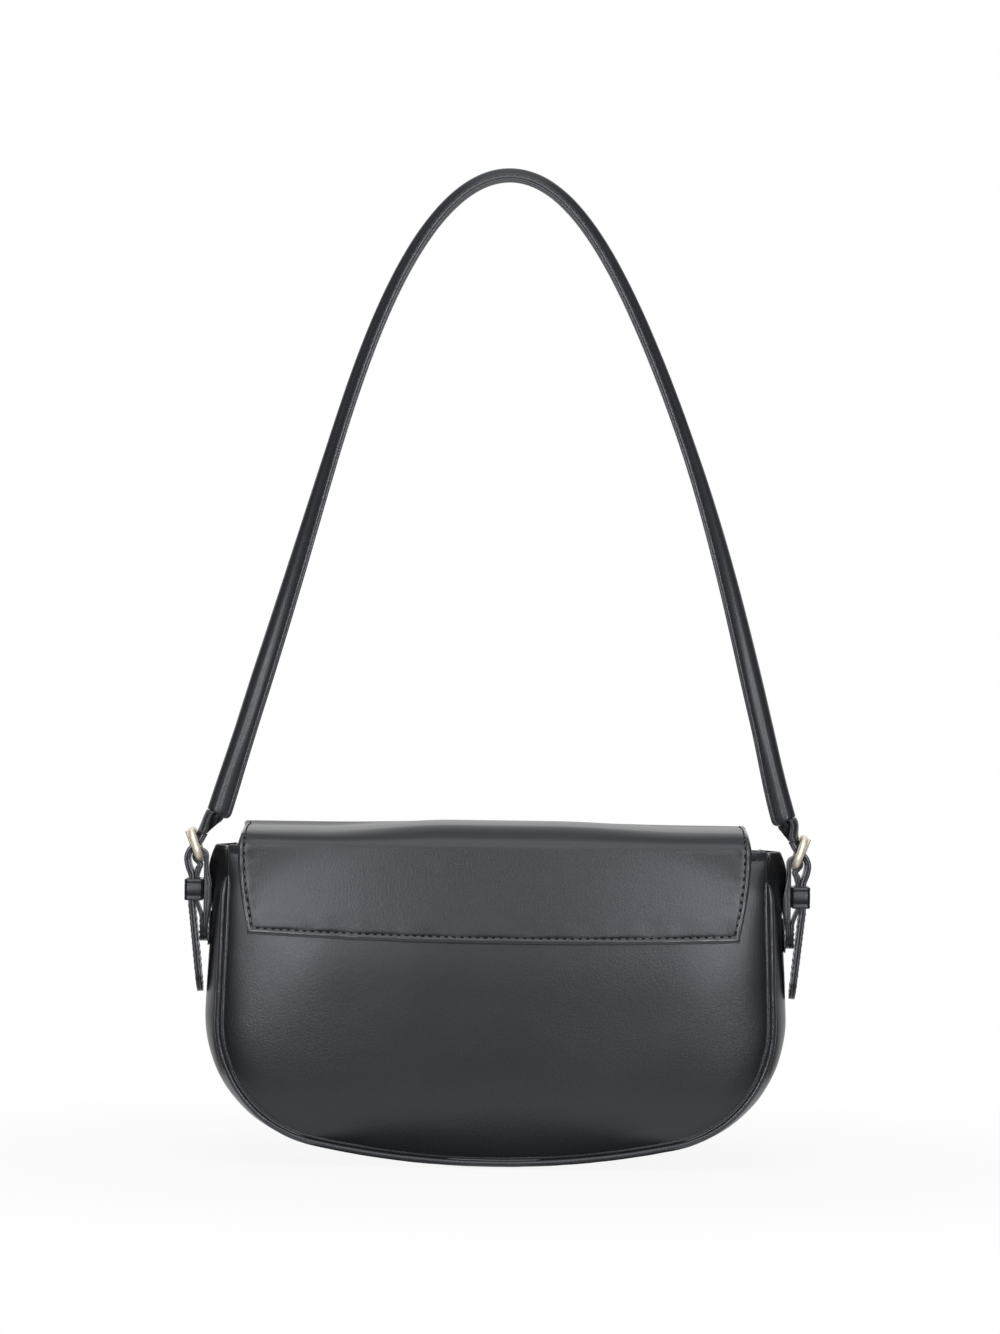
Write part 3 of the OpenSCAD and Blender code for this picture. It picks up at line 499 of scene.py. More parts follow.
def stitchMesh(name, tracks, pitch, length, radius, sink):
    rng = random.Random(stitch["seed"])
    points, faces = [], []
    for track in tracks:
        spots = [Vector(p) for p, _ in track]
        normals = [Vector(n) for _, n in track]
        total = sum((b - a).length for a, b in zip(spots, spots[1:]))
        count = max(1, int(round(total / pitch)))
        for k in range(count):
            at = (k + 0.5) * total / count
            ends = [trackAt(spots, normals, at + half) for half in (-length / 2, length / 2)]
            r = radius * rng.uniform(1 - stitch["uneven"], 1 + stitch["uneven"])
            addStitch(points, faces, *ends, r, sink, rng.uniform(-stitch["skew"], stitch["skew"]))
    return addMesh(name, points, faces)


def trackAt(spots, normals, distance):
    for i in range(len(spots) - 1):
        d = (spots[i + 1] - spots[i]).length
        if distance <= d or i == len(spots) - 2:
            s = distance / max(d, 1e-9)
            return spots[i].lerp(spots[i + 1], s), normals[i].lerp(normals[i + 1], clamp(s)).normalized()
        distance -= d


def addStitch(points, faces, a, b, radius, sink, skew):
    (pa, na), (pb, nb) = a, b
    side = (pb - pa).cross(na).normalized()
    pb = pb + side * skew * 2
    start, sides, count = len(points), stitch["sides"], len(stitch["profile"])
    for s, share, rise in stitch["profile"]:
        n = na.lerp(nb, s).normalized()
        c = pa.lerp(pb, s) + n * (radius * (rise + stitch["rise"]) - sink)
        for k in range(sides):
            angle = 2 * math.pi * k / sides
            out = side * math.cos(angle) + n * math.sin(angle) * stitch["flat"]
            points.append(tuple(c + out * radius * share))
    faces += ringFaces(sides, count, start) + endFaces(sides, count, start)


def straightTrack(place, a, b, count, normal):
    # stitches in a straight line from a to b on a face that place gives
    return [(place((lerp(a[0], b[0], s), lerp(a[1], b[1], s)), 0), normal) for s in spread(0, 1, count)]


# Outlines of the panels and of the gusset's swelled middle, from the left of the mouth down and up again
outlineSteps = {"bottom": 15, "corner": 24, "side": 16}


def arcPoints(cx, cz, r, a0, a1, n):
    return [(cx + r * math.sin(a), cz - r * math.cos(a)) for a in turnsOf(a0, a1, n)]


def halfOutline(w, low, r1, r2, lean, top):
    cx = w - r1
    cz = low + r2 - math.sqrt((r2 - r1) ** 2 - cx * cx)
    meet = math.degrees(math.asin(cx / (r2 - r1)))
    tilt = math.radians(lean)
    knee = (cx + r1 * math.cos(tilt), cz + r1 * math.sin(tilt))
    end = (knee[0] - (top - knee[1]) * math.tan(tilt), top)
    points = arcPoints(0, low + r2, r2, 0, meet, outlineSteps["bottom"])
    points += arcPoints(cx, cz, r1, meet, 90 + lean, outlineSteps["corner"])[1:]
    n = outlineSteps["side"]
    return points + [(lerp(knee[0], end[0], i / n), lerp(knee[1], end[1], i / n)) for i in range(1, n + 1)]


def wholeOutline(half):
    return [(-x, z) for x, z in reversed(half[1:])] + half


def panelOutline(top, inset):
    return wholeOutline(halfOutline(panelHalf - inset, panelLow + inset, panelCorner - inset, bag["bottomR"],
                                    bag["panelLean"], top))


def outerOutline(top):
    return wholeOutline(halfOutline(bag["width"] / 2, -bag["restFlat"], bag["cornerR"], bag["bottomR"],
                                    bag["sideLean"], top))


def outlineNormal(path, i):
    a, b = path[max(i - 1, 0)], path[min(i + 1, len(path) - 1)]
    d = math.hypot(b[0] - a[0], b[1] - a[1])
    return (b[1] - a[1]) / d, -(b[0] - a[0]) / d


def byLength(path):
    marks = [0.0]
    for a, b in zip(path, path[1:]):
        marks.append(marks[-1] + math.hypot(b[0] - a[0], b[1] - a[1]))

    def at(s):
        want = clamp(s) * marks[-1]
        i = next((k for k in range(1, len(marks)) if marks[k] >= want - 1e-9), len(marks) - 1)
        share = (want - marks[i - 1]) / max(marks[i] - marks[i - 1], 1e-9)
        return lerp(path[i - 1][0], path[i][0], share), lerp(path[i - 1][1], path[i][1], share)
    return at


def patch(outline):
    # A grid over a panel: its four sides are the mouth, the two flanks and the bottom between the corners
    corner = outlineSteps["side"] + outlineSteps["corner"] // 2
    last = len(outline) - 1
    left = byLength(list(reversed(outline[:corner + 1])))
    bottom = byLength(outline[corner:last - corner + 1])
    right = byLength(outline[last - corner:])
    top = byLength([outline[0], outline[-1]])

    def at(u, v):
        def side(k):
            return (lerp(bottom(u)[k], top(u)[k], v) + lerp(left(v)[k], right(v)[k], u)
                    - lerp(lerp(bottom(0)[k], bottom(1)[k], u), lerp(top(0)[k], top(1)[k], u), v))
        return side(0), side(1)
    return at


def edgeShares(length, count, edges):
    # even steps with a few close to each end, as shares of the length
    near = [e / length for e in edges]
    return near + spread(near[-1], 1 - near[-1], count)[1:-1] + [1 - e for e in reversed(near)]


def edgeSteps(low, high, count, edges):
    return [lerp(low, high, s) for s in edgeShares(high - low, count, edges)]


def seamTree(outline, count=900):
    dense = byLength(outline)
    tree = kdtree.KDTree(count + 1)
    for i in range(count + 1):
        x, z = dense(i / count)
        tree.insert((x, 0, z), i)
    tree.balance()
    return tree


def rectRows(xs, zs):
    return [[(x, z) for x in xs] for z in zs]


def gridRows(outline, across, up):
    at = patch(outline)
    return [[at(u, v) for u in across] for v in up]


# Panels: swelled leather, drawn in at the seam, with soft waves (middle x and z, reaches, height)
panel = {"columns": 76, "rows": 46, "edges": [0, 0.5, 1.2, 2.4, 4.2, 7.0], "dip": 0.9, "dipReach": 1.8,
         "roll": 1.7, "rollReach": 9.0, "mouthReach": 16.0, "waves": 0.28, "waveSize": 38.0, "waveFrom": 9.0,
         "pucker": 0.12, "puckerSize": 7.0, "puckerReach": 5.0, "stitchDown": 3.6, "pressed": 0.216,
         "pressedWidth": 0.8, "lift": {-1: 0.9, 1: -0.6}, "liftFrom": 108.0, "liftTo": 116.0,
         "thread": (3.5, 2.5, 0.26, 0.12), "stitchPast": {-1: 1.5, 1: 2.0}, "underFlap": 112.0}
waves = [(-84, 78, 24, 30, 0.5), (88, 84, 24, 28, 0.55), (78, 18, 28, 14, -0.5), (-76, 18, 28, 14, -0.4),
         (12, 70, 46, 34, -0.4)]


def panelWave(x, z, side):
    dent = sum(rise * bell(x * -side - cx, rx) * bell(z - cz, rz) for cx, cz, rx, rz, rise in waves)
    return dent + panel["waves"] * softNoise(x, side * 70, z, panel["waveSize"])


def panelPoint(side, tree):
    def at(p, depth):
        x, z = p
        _, _, seam = tree.find((x, 0, z))
        down = clamp((bag["height"] - z) / panel["mouthReach"])
        dip = panel["dip"] * math.exp(-seam / panel["dipReach"])
        dip += panel["roll"] * math.exp(-seam / panel["rollReach"])
        pucker = panel["pucker"] * softNoise(x, side * 40, z, panel["puckerSize"])
        pucker *= math.exp(-seam / panel["puckerReach"])
        wave = panelWave(x, z, side) * clamp(seam / panel["waveFrom"]) * ease(down)
        dent = panel["pressed"] * bell(bag["height"] - z - panel["stitchDown"], panel["pressedWidth"])
        y = faceY(x, z) - dip * down + pucker + wave - dent
        corner = ease((abs(x) - panel["liftFrom"]) / (panel["liftTo"] - panel["liftFrom"]))
        return x, side * (y - depth), z + panel["lift"][side] * corner * (1 - ease(down))
    return at


def makePanel(name, side, node):
    outline = panelOutline(bag["height"], 0)
    rows = gridRows(outline, edgeShares(2 * panelHalf, panel["columns"], panel["edges"]),
                    edgeShares(bag["height"], panel["rows"], panel["edges"]))
    place = panelPoint(side, seamTree(outline))
    settle(sheetMesh(name, rows, place, bag["panelT"]), "panel", "bag", node)
    end, z = outline[0][0] + panel["stitchPast"][side], bag["height"] - panel["stitchDown"]
    # the yoke covers the middle of the back panel's row
    spans = [(end, -end)] if side > 0 else [(end, -panel["underFlap"]), (panel["underFlap"], -end)]
    tracks = [straightTrack(place, (a, z), (b, z), 60, (0, side, 0)) for a, b in spans]
    settle(stitchMesh(name + "_stitches", tracks, *panel["thread"]), "thread", "bag")


makePanel("back_panel_leather", -1, "back_panel")
makePanel("front_panel_leather", 1, "front_panel")
print("panels made")

# Gusset: out from the seams to the swelled middle, folded inwards near the mouth, with a ridge painted
# lighter as a highlight
gusset = {"columns": [-1, -0.985, -0.95, -0.9, -0.86, -0.8, -0.72, -0.63, -0.54, -0.45, -0.36, -0.27, -0.18,
                      -0.09], "flat": 0.88, "power": 2.4, "foldLow": 112.0, "foldHigh": 134.4,
          "foldPower": 1.7, "ridge": 0.75, "ridgeAt": 0.66, "ridgeWidth": 0.045, "ridgeLow": 108.0,
          "ridgeHigh": 124.0, "ridgeLeast": 0.12, "ridgeRise": 8.0, "wornAndLit": 0.5, "wrinkle": 0.3,
          "wrinkleSize": 13.0, "wrinkleSpan": 30.0, "wrinkleRise": 2.0, "wrinkleLow": 6.0,
          "wrinkleReach": 12.0, "puff": 3.4, "puffZ": 131.5, "puffReach": 8.5, "puffWidth": 0.5}


def ridgeShare(v, z):
    up = ease((z - gusset["ridgeLow"]) / (gusset["ridgeHigh"] - gusset["ridgeLow"]))
    return bell(abs(v) - gusset["ridgeAt"], gusset["ridgeWidth"]) * lerp(gusset["ridgeLeast"], 1.0, up)


def plainSwell(v, z):
    return max(0.0, 1 - (abs(v) / gusset["flat"]) ** gusset["power"])


def gussetSwell(v, z):
    high = max(0.0, 1 - abs(v) / gusset["flat"]) ** gusset["foldPower"]
    up = ease((z - gusset["foldLow"]) / (gusset["foldHigh"] - gusset["foldLow"]))
    return lerp(plainSwell(v, z), high, up)


def gussetProud(x, v, z, seamZ, share):
    ridge = gusset["ridge"] * ridgeShare(v, seamZ) * clamp(share * gusset["ridgeRise"])
    lump = gusset["wrinkle"] * softNoise(x, v * gusset["wrinkleSpan"], z, gusset["wrinkleSize"])
    lump *= clamp(share * gusset["wrinkleRise"]) * clamp((z - gusset["wrinkleLow"]) / gusset["wrinkleReach"])
    puff = gusset["puff"] * bell(v, gusset["puffWidth"]) * bell(seamZ - gusset["puffZ"], gusset["puffReach"])
    return ridge + lump + puff


def makeStrip(name, height, half, reach, start, t, shape, proud=None, wornAndLit=None):
    # a strip between the panels; half holds its columns up to the middle, p a step on the seam and a column
    line, outerLine = panelOutline(height, 0), outerOutline(height)

    def at(p, depth):
        i, v = p
        nx, nz = outlineNormal(line, i)
        x0, z0 = line[i]
        share, d = shape(v, z0), start + depth
        x, z = lerp(x0, outerLine[i][0], share), lerp(z0, outerLine[i][1], share)
        out = (proud(x, v, z, z0, share) if proud else 0.0) - d
        return x + nx * out, v * (faceY(x0, z0) - reach), max(z + nz * out, d)

    rows = [[(i, v) for v in half + [0] + [-v for v in reversed(half)]] for i in range(len(line))]
    return sheetMesh(name, rows, at, t, (lambda i, v: wornAndLit(v, line[i][1])) if wornAndLit else None)


# painted highlight: the ridge along the fold is coloured lighter
settle(makeStrip("gusset_leather_painted_shade", bag["height"], gusset["columns"], bag["panelT"] + bag["seamGap"], 0,
                 bag["gussetT"], gussetSwell, gussetProud, lambda v, z: gusset["wornAndLit"] * ridgeShare(v, z)),
       "gusset", "bag", "gusset")

# Piping: a covered cord in each seam, running out to a point at its upper ends, with a painted highlight
# along its outer side
piping = {"r": 1.5, "top": 128.0, "taper": 9.0, "tip": 0.3, "sides": 12, "steps": 260, "ripple": 0.07,
          "rippleSize": 3.0, "rippleSteps": (0.9, 2.0, 9.0), "wornAndLit": 0.75, "highlightTurn": 0.3}


def makePiping(name, side, node):
    path, count = panelOutline(piping["top"], 0), piping["steps"]
    at, total = byLength(path), sum(math.dist(a, b) for a, b in zip(path, path[1:]))
    line = [at(i / count) for i in range(count + 1)]
    along, around, apart = piping["rippleSteps"]
    rings, marks = [], []
    for i, (x, z) in enumerate(line):
        nx, nz = outlineNormal(line, i)
        end = min(i, count - i) * total / count
        r = piping["r"] * lerp(piping["tip"], 1.0, math.sin(clamp(end / piping["taper"]) * math.pi / 2))
        y = faceY(x, z) - piping["r"] + bag["seamGap"]
        ring = []
        for k in range(piping["sides"]):
            angle = 2 * math.pi * k / piping["sides"]
            wave = softNoise(i * along, angle * around, side * apart, piping["rippleSize"])
            wave = r * (1 + piping["ripple"] * wave)
            out = r + bag["seamGap"] + wave * math.cos(angle)
            ring.append((x + nx * out, side * (y + wave * math.sin(angle)), z + nz * out))
            # painted highlight: the side of the cord that faces away from the bag is coloured lighter
            marks.append(piping["wornAndLit"] * max(0.0, math.sin(angle + piping["highlightTurn"])) ** 2)
        rings.append(ring)
    settle(loftMesh(name, rings, marks, levels=1), "piping", "bag", node)


makePiping("back_piping_cover", -1, "back_piping")
makePiping("front_piping_cover", 1, "front_piping")
print("gusset and piping made")

# The flap as one sheet, by x and by the way s along it: 0 at the back fold, minus down the yoke
arcLen = flap["foldR"] * math.pi / 2
topLen = frontFace + backFace - 2 * flap["foldR"]
frontStart = arcLen + topLen
frontDown = frontStart + arcLen
frontEnd = frontDown + foldZ - bag["height"] + flap["drop"]
jointS = frontStart + arcLen * flap["hingeTurn"] / 90
midTop = (arcLen + frontStart) / 2
crown = {"left": -3.0, "leftFrom": 20.0, "right": -1.5, "rightFrom": 25.0, "middle": 0.45, "reach": 60.0}


def flapHalf(s):
    if s < 0:
        k = clamp((foldZ + s - yokeLow - flap["yokeBow"]) / flap["yokeH"])
        return flap["width"] / 2 - (flap["width"] - flap["lowWidth"]) / 2 * (1 - k) ** 2
    half = flap["width"] / 2 - flap["crownIn"] * ease(s / arcLen) * ease((frontDown - s) / arcLen)
    if s > jointS:
        k = (s - jointS) / (frontEnd - jointS)
        half = min(half, lerp(flap["width"], flap["lowWidth"], k) / 2)
        d = max(0.0, s - frontEnd + flap["cornerR"])
        half += math.sqrt(max(0.0, flap["cornerR"] ** 2 - d * d)) - flap["cornerR"]
    return half


def flapLow(x):
    u = x / (flap["lowWidth"] / 2)
    return yokeLow + flap["yokeBow"] * u * u - flap["yokeTilt"] * u - foldZ


def edgeDistance(x, s):
    near = min(flapHalf(s) - abs(x), s - flapLow(x))
    if s > frontEnd - flap["cornerR"]:
        half = lerp(flap["width"], flap["lowWidth"], (s - jointS) / (frontEnd - jointS)) / 2
        dx, ds = abs(x) - (half - flap["cornerR"]), s - (frontEnd - flap["cornerR"])
        near = flap["cornerR"] - math.hypot(dx, ds) if dx > 0 else min(flap["cornerR"] - ds, near)
    return near


# The flap's edge: rounded, turned in, and pressed down where it is stitched
hem = {"stitchIn": 2.8, "thread": (3.5, 1.9, 0.36, 0.08), "groove": 0.15, "grooveWidth": 0.55, "pull": 0.5,
       "turned": 0.25, "turnedRise": 1.0, "turnedFall": 1.2, "rim": 0.3, "rimReach": 0.9,
       "puckers": [(0.12, 0, 8.0), (0.08, 3, 3.5)], "puckerFrom": 13.0, "puckerReach": 8.0, "wornAndLit": 0.9,
       "highlightRise": 0.4, "highlightFall": 0.6}


def pressed(x, s):
    # how far the outer face lies below its plain shape
    e = edgeDistance(x, s)
    pull = 1 + hem["pull"] * math.cos(2 * math.pi * (x + s) / hem["thread"][0])
    groove = hem["groove"] * pull * bell(e - hem["stitchIn"], hem["grooveWidth"])
    turned = hem["turned"] * ease(e / hem["turnedRise"]) * ease((hem["stitchIn"] - e) / hem["turnedFall"])
    pucker = sum(rise * softNoise(x, s, far, size) for rise, far, size in hem["puckers"])
    pucker *= clamp((hem["puckerFrom"] - e) / hem["puckerReach"])
    return groove - turned + hem["rim"] * (1 - ease(e / hem["rimReach"])) - pucker


# painted highlight: the rounded strip between the stitches and the flap's edge is coloured lighter, as light
# catching its raised edge
def stripHighlight(x, s):
    e = edgeDistance(x, s)
    inner = ease((hem["stitchIn"] - hem["highlightRise"] - e) / hem["highlightFall"])
    return hem["wornAndLit"] * ease(e / hem["highlightRise"]) * inner


def crownRise(x):
    left = ease((-x - crown["leftFrom"]) / crown["reach"])
    right = ease((x - crown["rightFrom"]) / crown["reach"])
    return crown["middle"] * (1 - left) * (1 - right) + crown["left"] * left + crown["right"] * right


def frontBulge(x, z):
    r = math.hypot(x, z - flap["snapZ"]) / (flap["bulge"] * bag["width"])
    return faceY(x, z) - bag["depth"] / 2 - mouthSwell + (snapStack - flap["lift"]) * math.exp(-r * r)


def domed(x, s):
    # the top's rise over the level between its two folds, and the curl of its free ends
    half = topLen / 2
    slope = 2 * (flap["dome"] + flap["domeEnd"]) / half
    off = abs(s - midTop)
    if off <= half:
        rise, share = flap["dome"] - (flap["dome"] + flap["domeEnd"]) * (off / half) ** 2, 1.0
    else:
        a = clamp((half + arcLen - off) / arcLen) * math.pi / 2
        rise, share = -flap["domeEnd"] - slope * flap["foldR"] * math.cos(a), math.sin(a)
    off = 1 - clamp((flapHalf(s) - abs(x)) / flap["curlReach"])
    curl = flap["curl"] * (1 - math.sqrt(1 - off * off))
    return (rise - curl) * share * ease((jointS - s) / arcLen)


def flapPoint(u, s, depth):
    r, x = flap["foldR"] - depth, u + flap["aside"]
    if s <= 0:
        z = foldZ + s
        wave = panelWave(x, z, -1) * flap["wave"] * ease(-s / flap["waveTop"])
        wave *= ease((s - flapLow(u)) / flap["waveLow"])
        return x, depth - (faceY(x, z) + bag["sheetGap"] + flap["t"]) - wave, z
    rise = crownRise(x) * ease(s / arcLen) * ease((jointS - s) / arcLen) + domed(u, s)
    if s <= arcLen:
        # the fold goes on from the panel's own slope, so its shine has no break
        start = faceY(x, foldZ) + bag["sheetGap"] + flap["t"]
        first = faceY(x, foldZ - 0.5) - faceY(x, foldZ + 0.5)
        a = lerp(first, math.pi / 2, s / arcLen)
        across = (math.cos(first) - math.cos(a)) / math.cos(first)
        up = (math.sin(a) - math.sin(first)) / (1 - math.sin(first))
        return (x, across * (start - backFace + flap["foldR"]) - start + depth * math.cos(a),
                foldZ + up * flap["foldR"] - depth * math.sin(a) + rise)
    if s <= frontStart:
        return x, -backFace + flap["foldR"] + s - arcLen, foldZ + r + rise
    if s <= frontDown:
        a = (s - frontStart) / flap["foldR"]
        return x, frontFace - flap["foldR"] + r * math.sin(a), foldZ + r * math.cos(a) + rise
    z = foldZ - (s - frontDown)
    return x, frontFace - depth + ease((s - frontDown) / flap["foldR"]) * frontBulge(x, z), z


# Rows of the flap's grids; the steps across and along come closer together near the edges
flapMesh = {"edges": [0, 0.3, 0.8, 1.4, 2.0, 2.4, 2.8, 3.2, 3.8, 5.0, 7.0, 10.0], "columns": 64,
            "yokeRows": 22, "level": 36.0, "topRows": [4, 12, 6], "frontRows": [6, 24, 26], "cornerRows": 16,
            "cornerTurn": 66.0, "lastRows": [2.6, 1.9, 1.2, 0.6, 0.25, 0]}
flapLining = {"inset": 0.8, "start": 0.4, "edges": [0, 0.5, 2], "columns": 30, "topRows": [10, 4],
              "frontRows": [4, 20, 18], "sunk": 0.05, "ripple": 0.03, "rippleSize": 4.0}
frontStops = [midTop, frontStart, frontDown, frontEnd - flap["cornerR"]]


def rowsThrough(stops, counts):
    return stops[:1] + [s for a, b, n in zip(stops, stops[1:], counts) for s in spread(a, b, n)[1:]]


def cornerRows(inset, turn):
    r = flap["cornerR"] - inset
    turns = turnsOf(0, turn, flapMesh["cornerRows"])[1:]
    return [frontEnd - inset - r * (1 - math.sin(a)) for a in turns]


def flapRows(ss, grid, inset=0.0):
    halves = [flapHalf(s) - inset for s in ss]
    return [[(x, s) for x in edgeSteps(-half, half, grid["columns"], grid["edges"])]
            for s, half in zip(ss, halves)]


def yokeRows():
    low, high = flapMesh["edges"][-1], flapMesh["level"]
    ends = flapMesh["edges"] + spread(low, high, flapMesh["yokeRows"])[1:-1]
    rows = []
    for e, row in zip(ends, flapRows([flapLow(0) + e for e in ends], flapMesh)):
        share = clamp((e - low) / (high - low))
        rows.append([(x, lerp(flapLow(x) + min(e, low), flapLow(0) + high, share)) for x, _ in row])
    return rows


def leatherPoint(p, depth):
    return flapPoint(*p, depth + (pressed(*p) if depth == 0 else 0.0))


def liningPoint(p, depth):
    ripple = flapLining["ripple"] * softNoise(*p, 5, flapLining["rippleSize"])
    return flapPoint(*p, flap["t"] + bag["seamGap"] + depth + flapLining["sunk"] + ripple)


# The places of the two folds between the flap's bodies, handed to the flap's pieces; nothing here bends them
hinge = {"below": 3.0, "above": 5.0, "reach": 4.0}
hingeTurn = math.radians(flap["hingeTurn"])
joint = (frontFace - flap["foldR"] * (1 - math.sin(hingeTurn)), foldZ + flap["foldR"] * math.cos(hingeTurn))


def inFrame(y, z):
    return 0, (y + shiftY) * mm, z * mm


backBlend = ("bag", "top", inFrame(-backFace, foldZ - hinge["below"]),
             inFrame(-backFace, foldZ + hinge["above"]))
frontBlend = ("top", "front", inFrame(joint[0] - hinge["reach"], joint[1] + hinge["reach"]),
              inFrame(joint[0] + hinge["reach"], joint[1] - hinge["reach"]))


def makeFlap():
    rows = rowsThrough([flapLow(0) + flapMesh["level"], 0, arcLen, midTop], flapMesh["topRows"])
    rows = yokeRows() + flapRows(rows, flapMesh)
    piece = sheetMesh("flap_back_leather", rows, leatherPoint, flap["t"], stripHighlight)
    settle(piece, "flap", backBlend, "flap_yoke", "flap_top")
    rows = rowsThrough(frontStops, flapMesh["frontRows"]) + cornerRows(0, flapMesh["cornerTurn"])
    rows = flapRows(rows + [frontEnd - e for e in flapMesh["lastRows"]], flapMesh)
    piece = sheetMesh("flap_front_leather", rows, leatherPoint, flap["t"], stripHighlight)
    settle(piece, "flap", frontBlend, "flap_front")


def makeFlapLinings():
    inset, t = flapLining["inset"], bag["liningT"] - flapLining["sunk"]
    top = rowsThrough([flapLining["start"], arcLen, midTop], flapLining["topRows"])
    front = rowsThrough(frontStops, flapLining["frontRows"]) + cornerRows(inset, 90)
    for name, rows, blend in (("flap_top_lining", top, backBlend), ("flap_front_lining", front, frontBlend)):
        piece = sheetMesh(name + "_cloth", flapRows(rows, flapLining, inset), liningPoint, t)
        settle(piece, "cloth", blend, name, slot="lining")


def flapTrack(points):
    track = []
    for x, s in points:
        a, b = [Vector(flapPoint(x, s, pressed(x, s) + down)) for down in (0, 1)]
        track.append((tuple(a), tuple((a - b).normalized())))
    return track


def makeFlapStitches():
    e, r, half, start = hem["stitchIn"], flap["cornerR"], flap["lowWidth"] / 2, frontStops[-1]
    low = [(x, flapLow(x) + e) for x in spread(e - half, half - e, 120)]
    flanks = [[(side * (flapHalf(s) - e), s) for s in spread(flapLow(side * half) + e, midTop, 90)]
              for side in (-1, 1)]
    turns = turnsOf(0, 90, 24)[1:]
    flank = [(flapHalf(s) - e, s) for s in spread(midTop, start, 110)]
    flank += [(flapHalf(start) - r + (r - e) * math.cos(a), start + (r - e) * math.sin(a)) for a in turns]
    bottom = [(x, frontEnd - e) for x in spread(flank[-1][0], -flank[-1][0], 60)]
    front = [flank, bottom, [(-x, s) for x, s in flank]]
    for name, tracks, blend in (("back", [low] + flanks, backBlend), ("front", front, frontBlend)):
        made = stitchMesh("flap_%s_stitches" % name, [flapTrack(line) for line in tracks], *hem["thread"])
        settle(made, "thread", blend)


makeFlap()
makeFlapLinings()
makeFlapStitches()
print("flap made")

# Inside: linings, facings and the slip pocket
liningDepth = bag["panelT"] + bag["liningGap"]
facingLow = bag["height"] - bag["facingH"]
liningTop = facingLow - bag["seamGap"]
liningInset = bag["gussetT"] + bag["liningGap"] + bag["liningT"] + bag["seamGap"]
lining = {"width": 230.0, "height": 110.0, "columns": 40, "rows": 26, "edges": [0, 0.6, 2],
          "strip": [-1, -0.97, -0.9, -0.79, -0.6, -0.4, -0.2], "rippleSize": 16.0}
facing = {"columns": 60, "rows": 8, "edges": [0, 0.4, 1.4], "rowEdges": [0, 0.4, 1.2], "stitchUp": 2.4,
          "stitchIn": 3.0, "thread": (3.5, 2.5, 0.24, 0.12)}
pocket = {"width": 110.0, "height": 62.0, "z": 36.0, "ripple": 0.24, "columns": 26, "rows": 16,
          "edges": [0, 0.4, 1.5, 3], "stitchIn": 2.0, "hem": 3.0, "thread": (3.0, 2.1, 0.2, 0.12)}


def layerPoint(side, start, ripple=0.0):
    def at(p, depth):
        x, z = p
        wave = 0.5 + 0.5 * softNoise(x, side * 33, z, lining["rippleSize"])
        return x, side * (faceY(x, z) - start - depth - ripple * wave), z
    return at


def makeInside(side, name):
    rows = gridRows(panelOutline(liningTop, liningInset),
                    edgeShares(lining["width"], lining["columns"], lining["edges"]),
                    edgeShares(lining["height"], lining["rows"], lining["edges"]))
    piece = sheetMesh(name + "_lining_cloth", rows, layerPoint(side, liningDepth), bag["liningT"])
    settle(piece, "cloth", "bag", name + "_lining", slot="lining")
    half = panelHalf - (bag["height"] - panelLow) * math.tan(math.radians(bag["panelLean"])) - liningInset
    start, t = bag["panelT"] + bag["sheetGap"], bag["liningGap"] - 2 * bag["seamGap"]
    rows = rectRows(edgeSteps(-half, half, facing["columns"], facing["edges"]),
                    edgeSteps(facingLow, bag["height"], facing["rows"], facing["rowEdges"]))
    piece = sheetMesh(name + "_facing_leather", rows, layerPoint(side, start), t)
    settle(piece, "strap", "bag", name + "_facing")
    end, z = half - facing["stitchIn"], facingLow + facing["stitchUp"]
    track = straightTrack(layerPoint(side, start + t), (-end, z), (end, z), 80, (0, -side, 0))
    settle(stitchMesh(name + "_facing_stitches", [track], *facing["thread"]), "liningThread", "bag")


def makePocket():
    start, half = liningDepth + bag["liningT"] + bag["sheetGap"], pocket["width"] / 2
    low, high = pocket["z"], pocket["z"] + pocket["height"]
    rows = rectRows(edgeSteps(-half, half, pocket["columns"], pocket["edges"]),
                    edgeSteps(low, high, pocket["rows"], pocket["edges"]))
    piece = sheetMesh("slip_pocket_cloth", rows, layerPoint(-1, start, pocket["ripple"]), bag["liningT"])
    settle(piece, "cloth", "bag", "slip_pocket", slot="lining")
    inner = layerPoint(-1, start + bag["liningT"], pocket["ripple"])
    half, low, top = half - pocket["stitchIn"], low + pocket["stitchIn"], high - pocket["hem"]
    lines = [((-half, low), (half, low), 40), ((-half, low), (-half, high - 1), 30),
             ((half, low), (half, high - 1), 30), ((1 - half, top), (half - 1, top), 40)]
    tracks = [straightTrack(inner, a, b, count, (0, 1, 0)) for a, b, count in lines]
    made = stitchMesh("slip_pocket_stitches", tracks, *pocket["thread"])
    settle(made, "liningThread", "bag", slot="lining")


makeInside(-1, "back")
makeInside(1, "front")
settle(makeStrip("gusset_lining_cloth", liningTop, lining["strip"],
                 liningDepth + bag["liningT"] + bag["seamGap"], bag["gussetT"] + bag["liningGap"],
                 bag["liningT"], plainSwell),
       "cloth", "bag", "gusset_lining", slot="lining")
makePocket()
print("inside made")

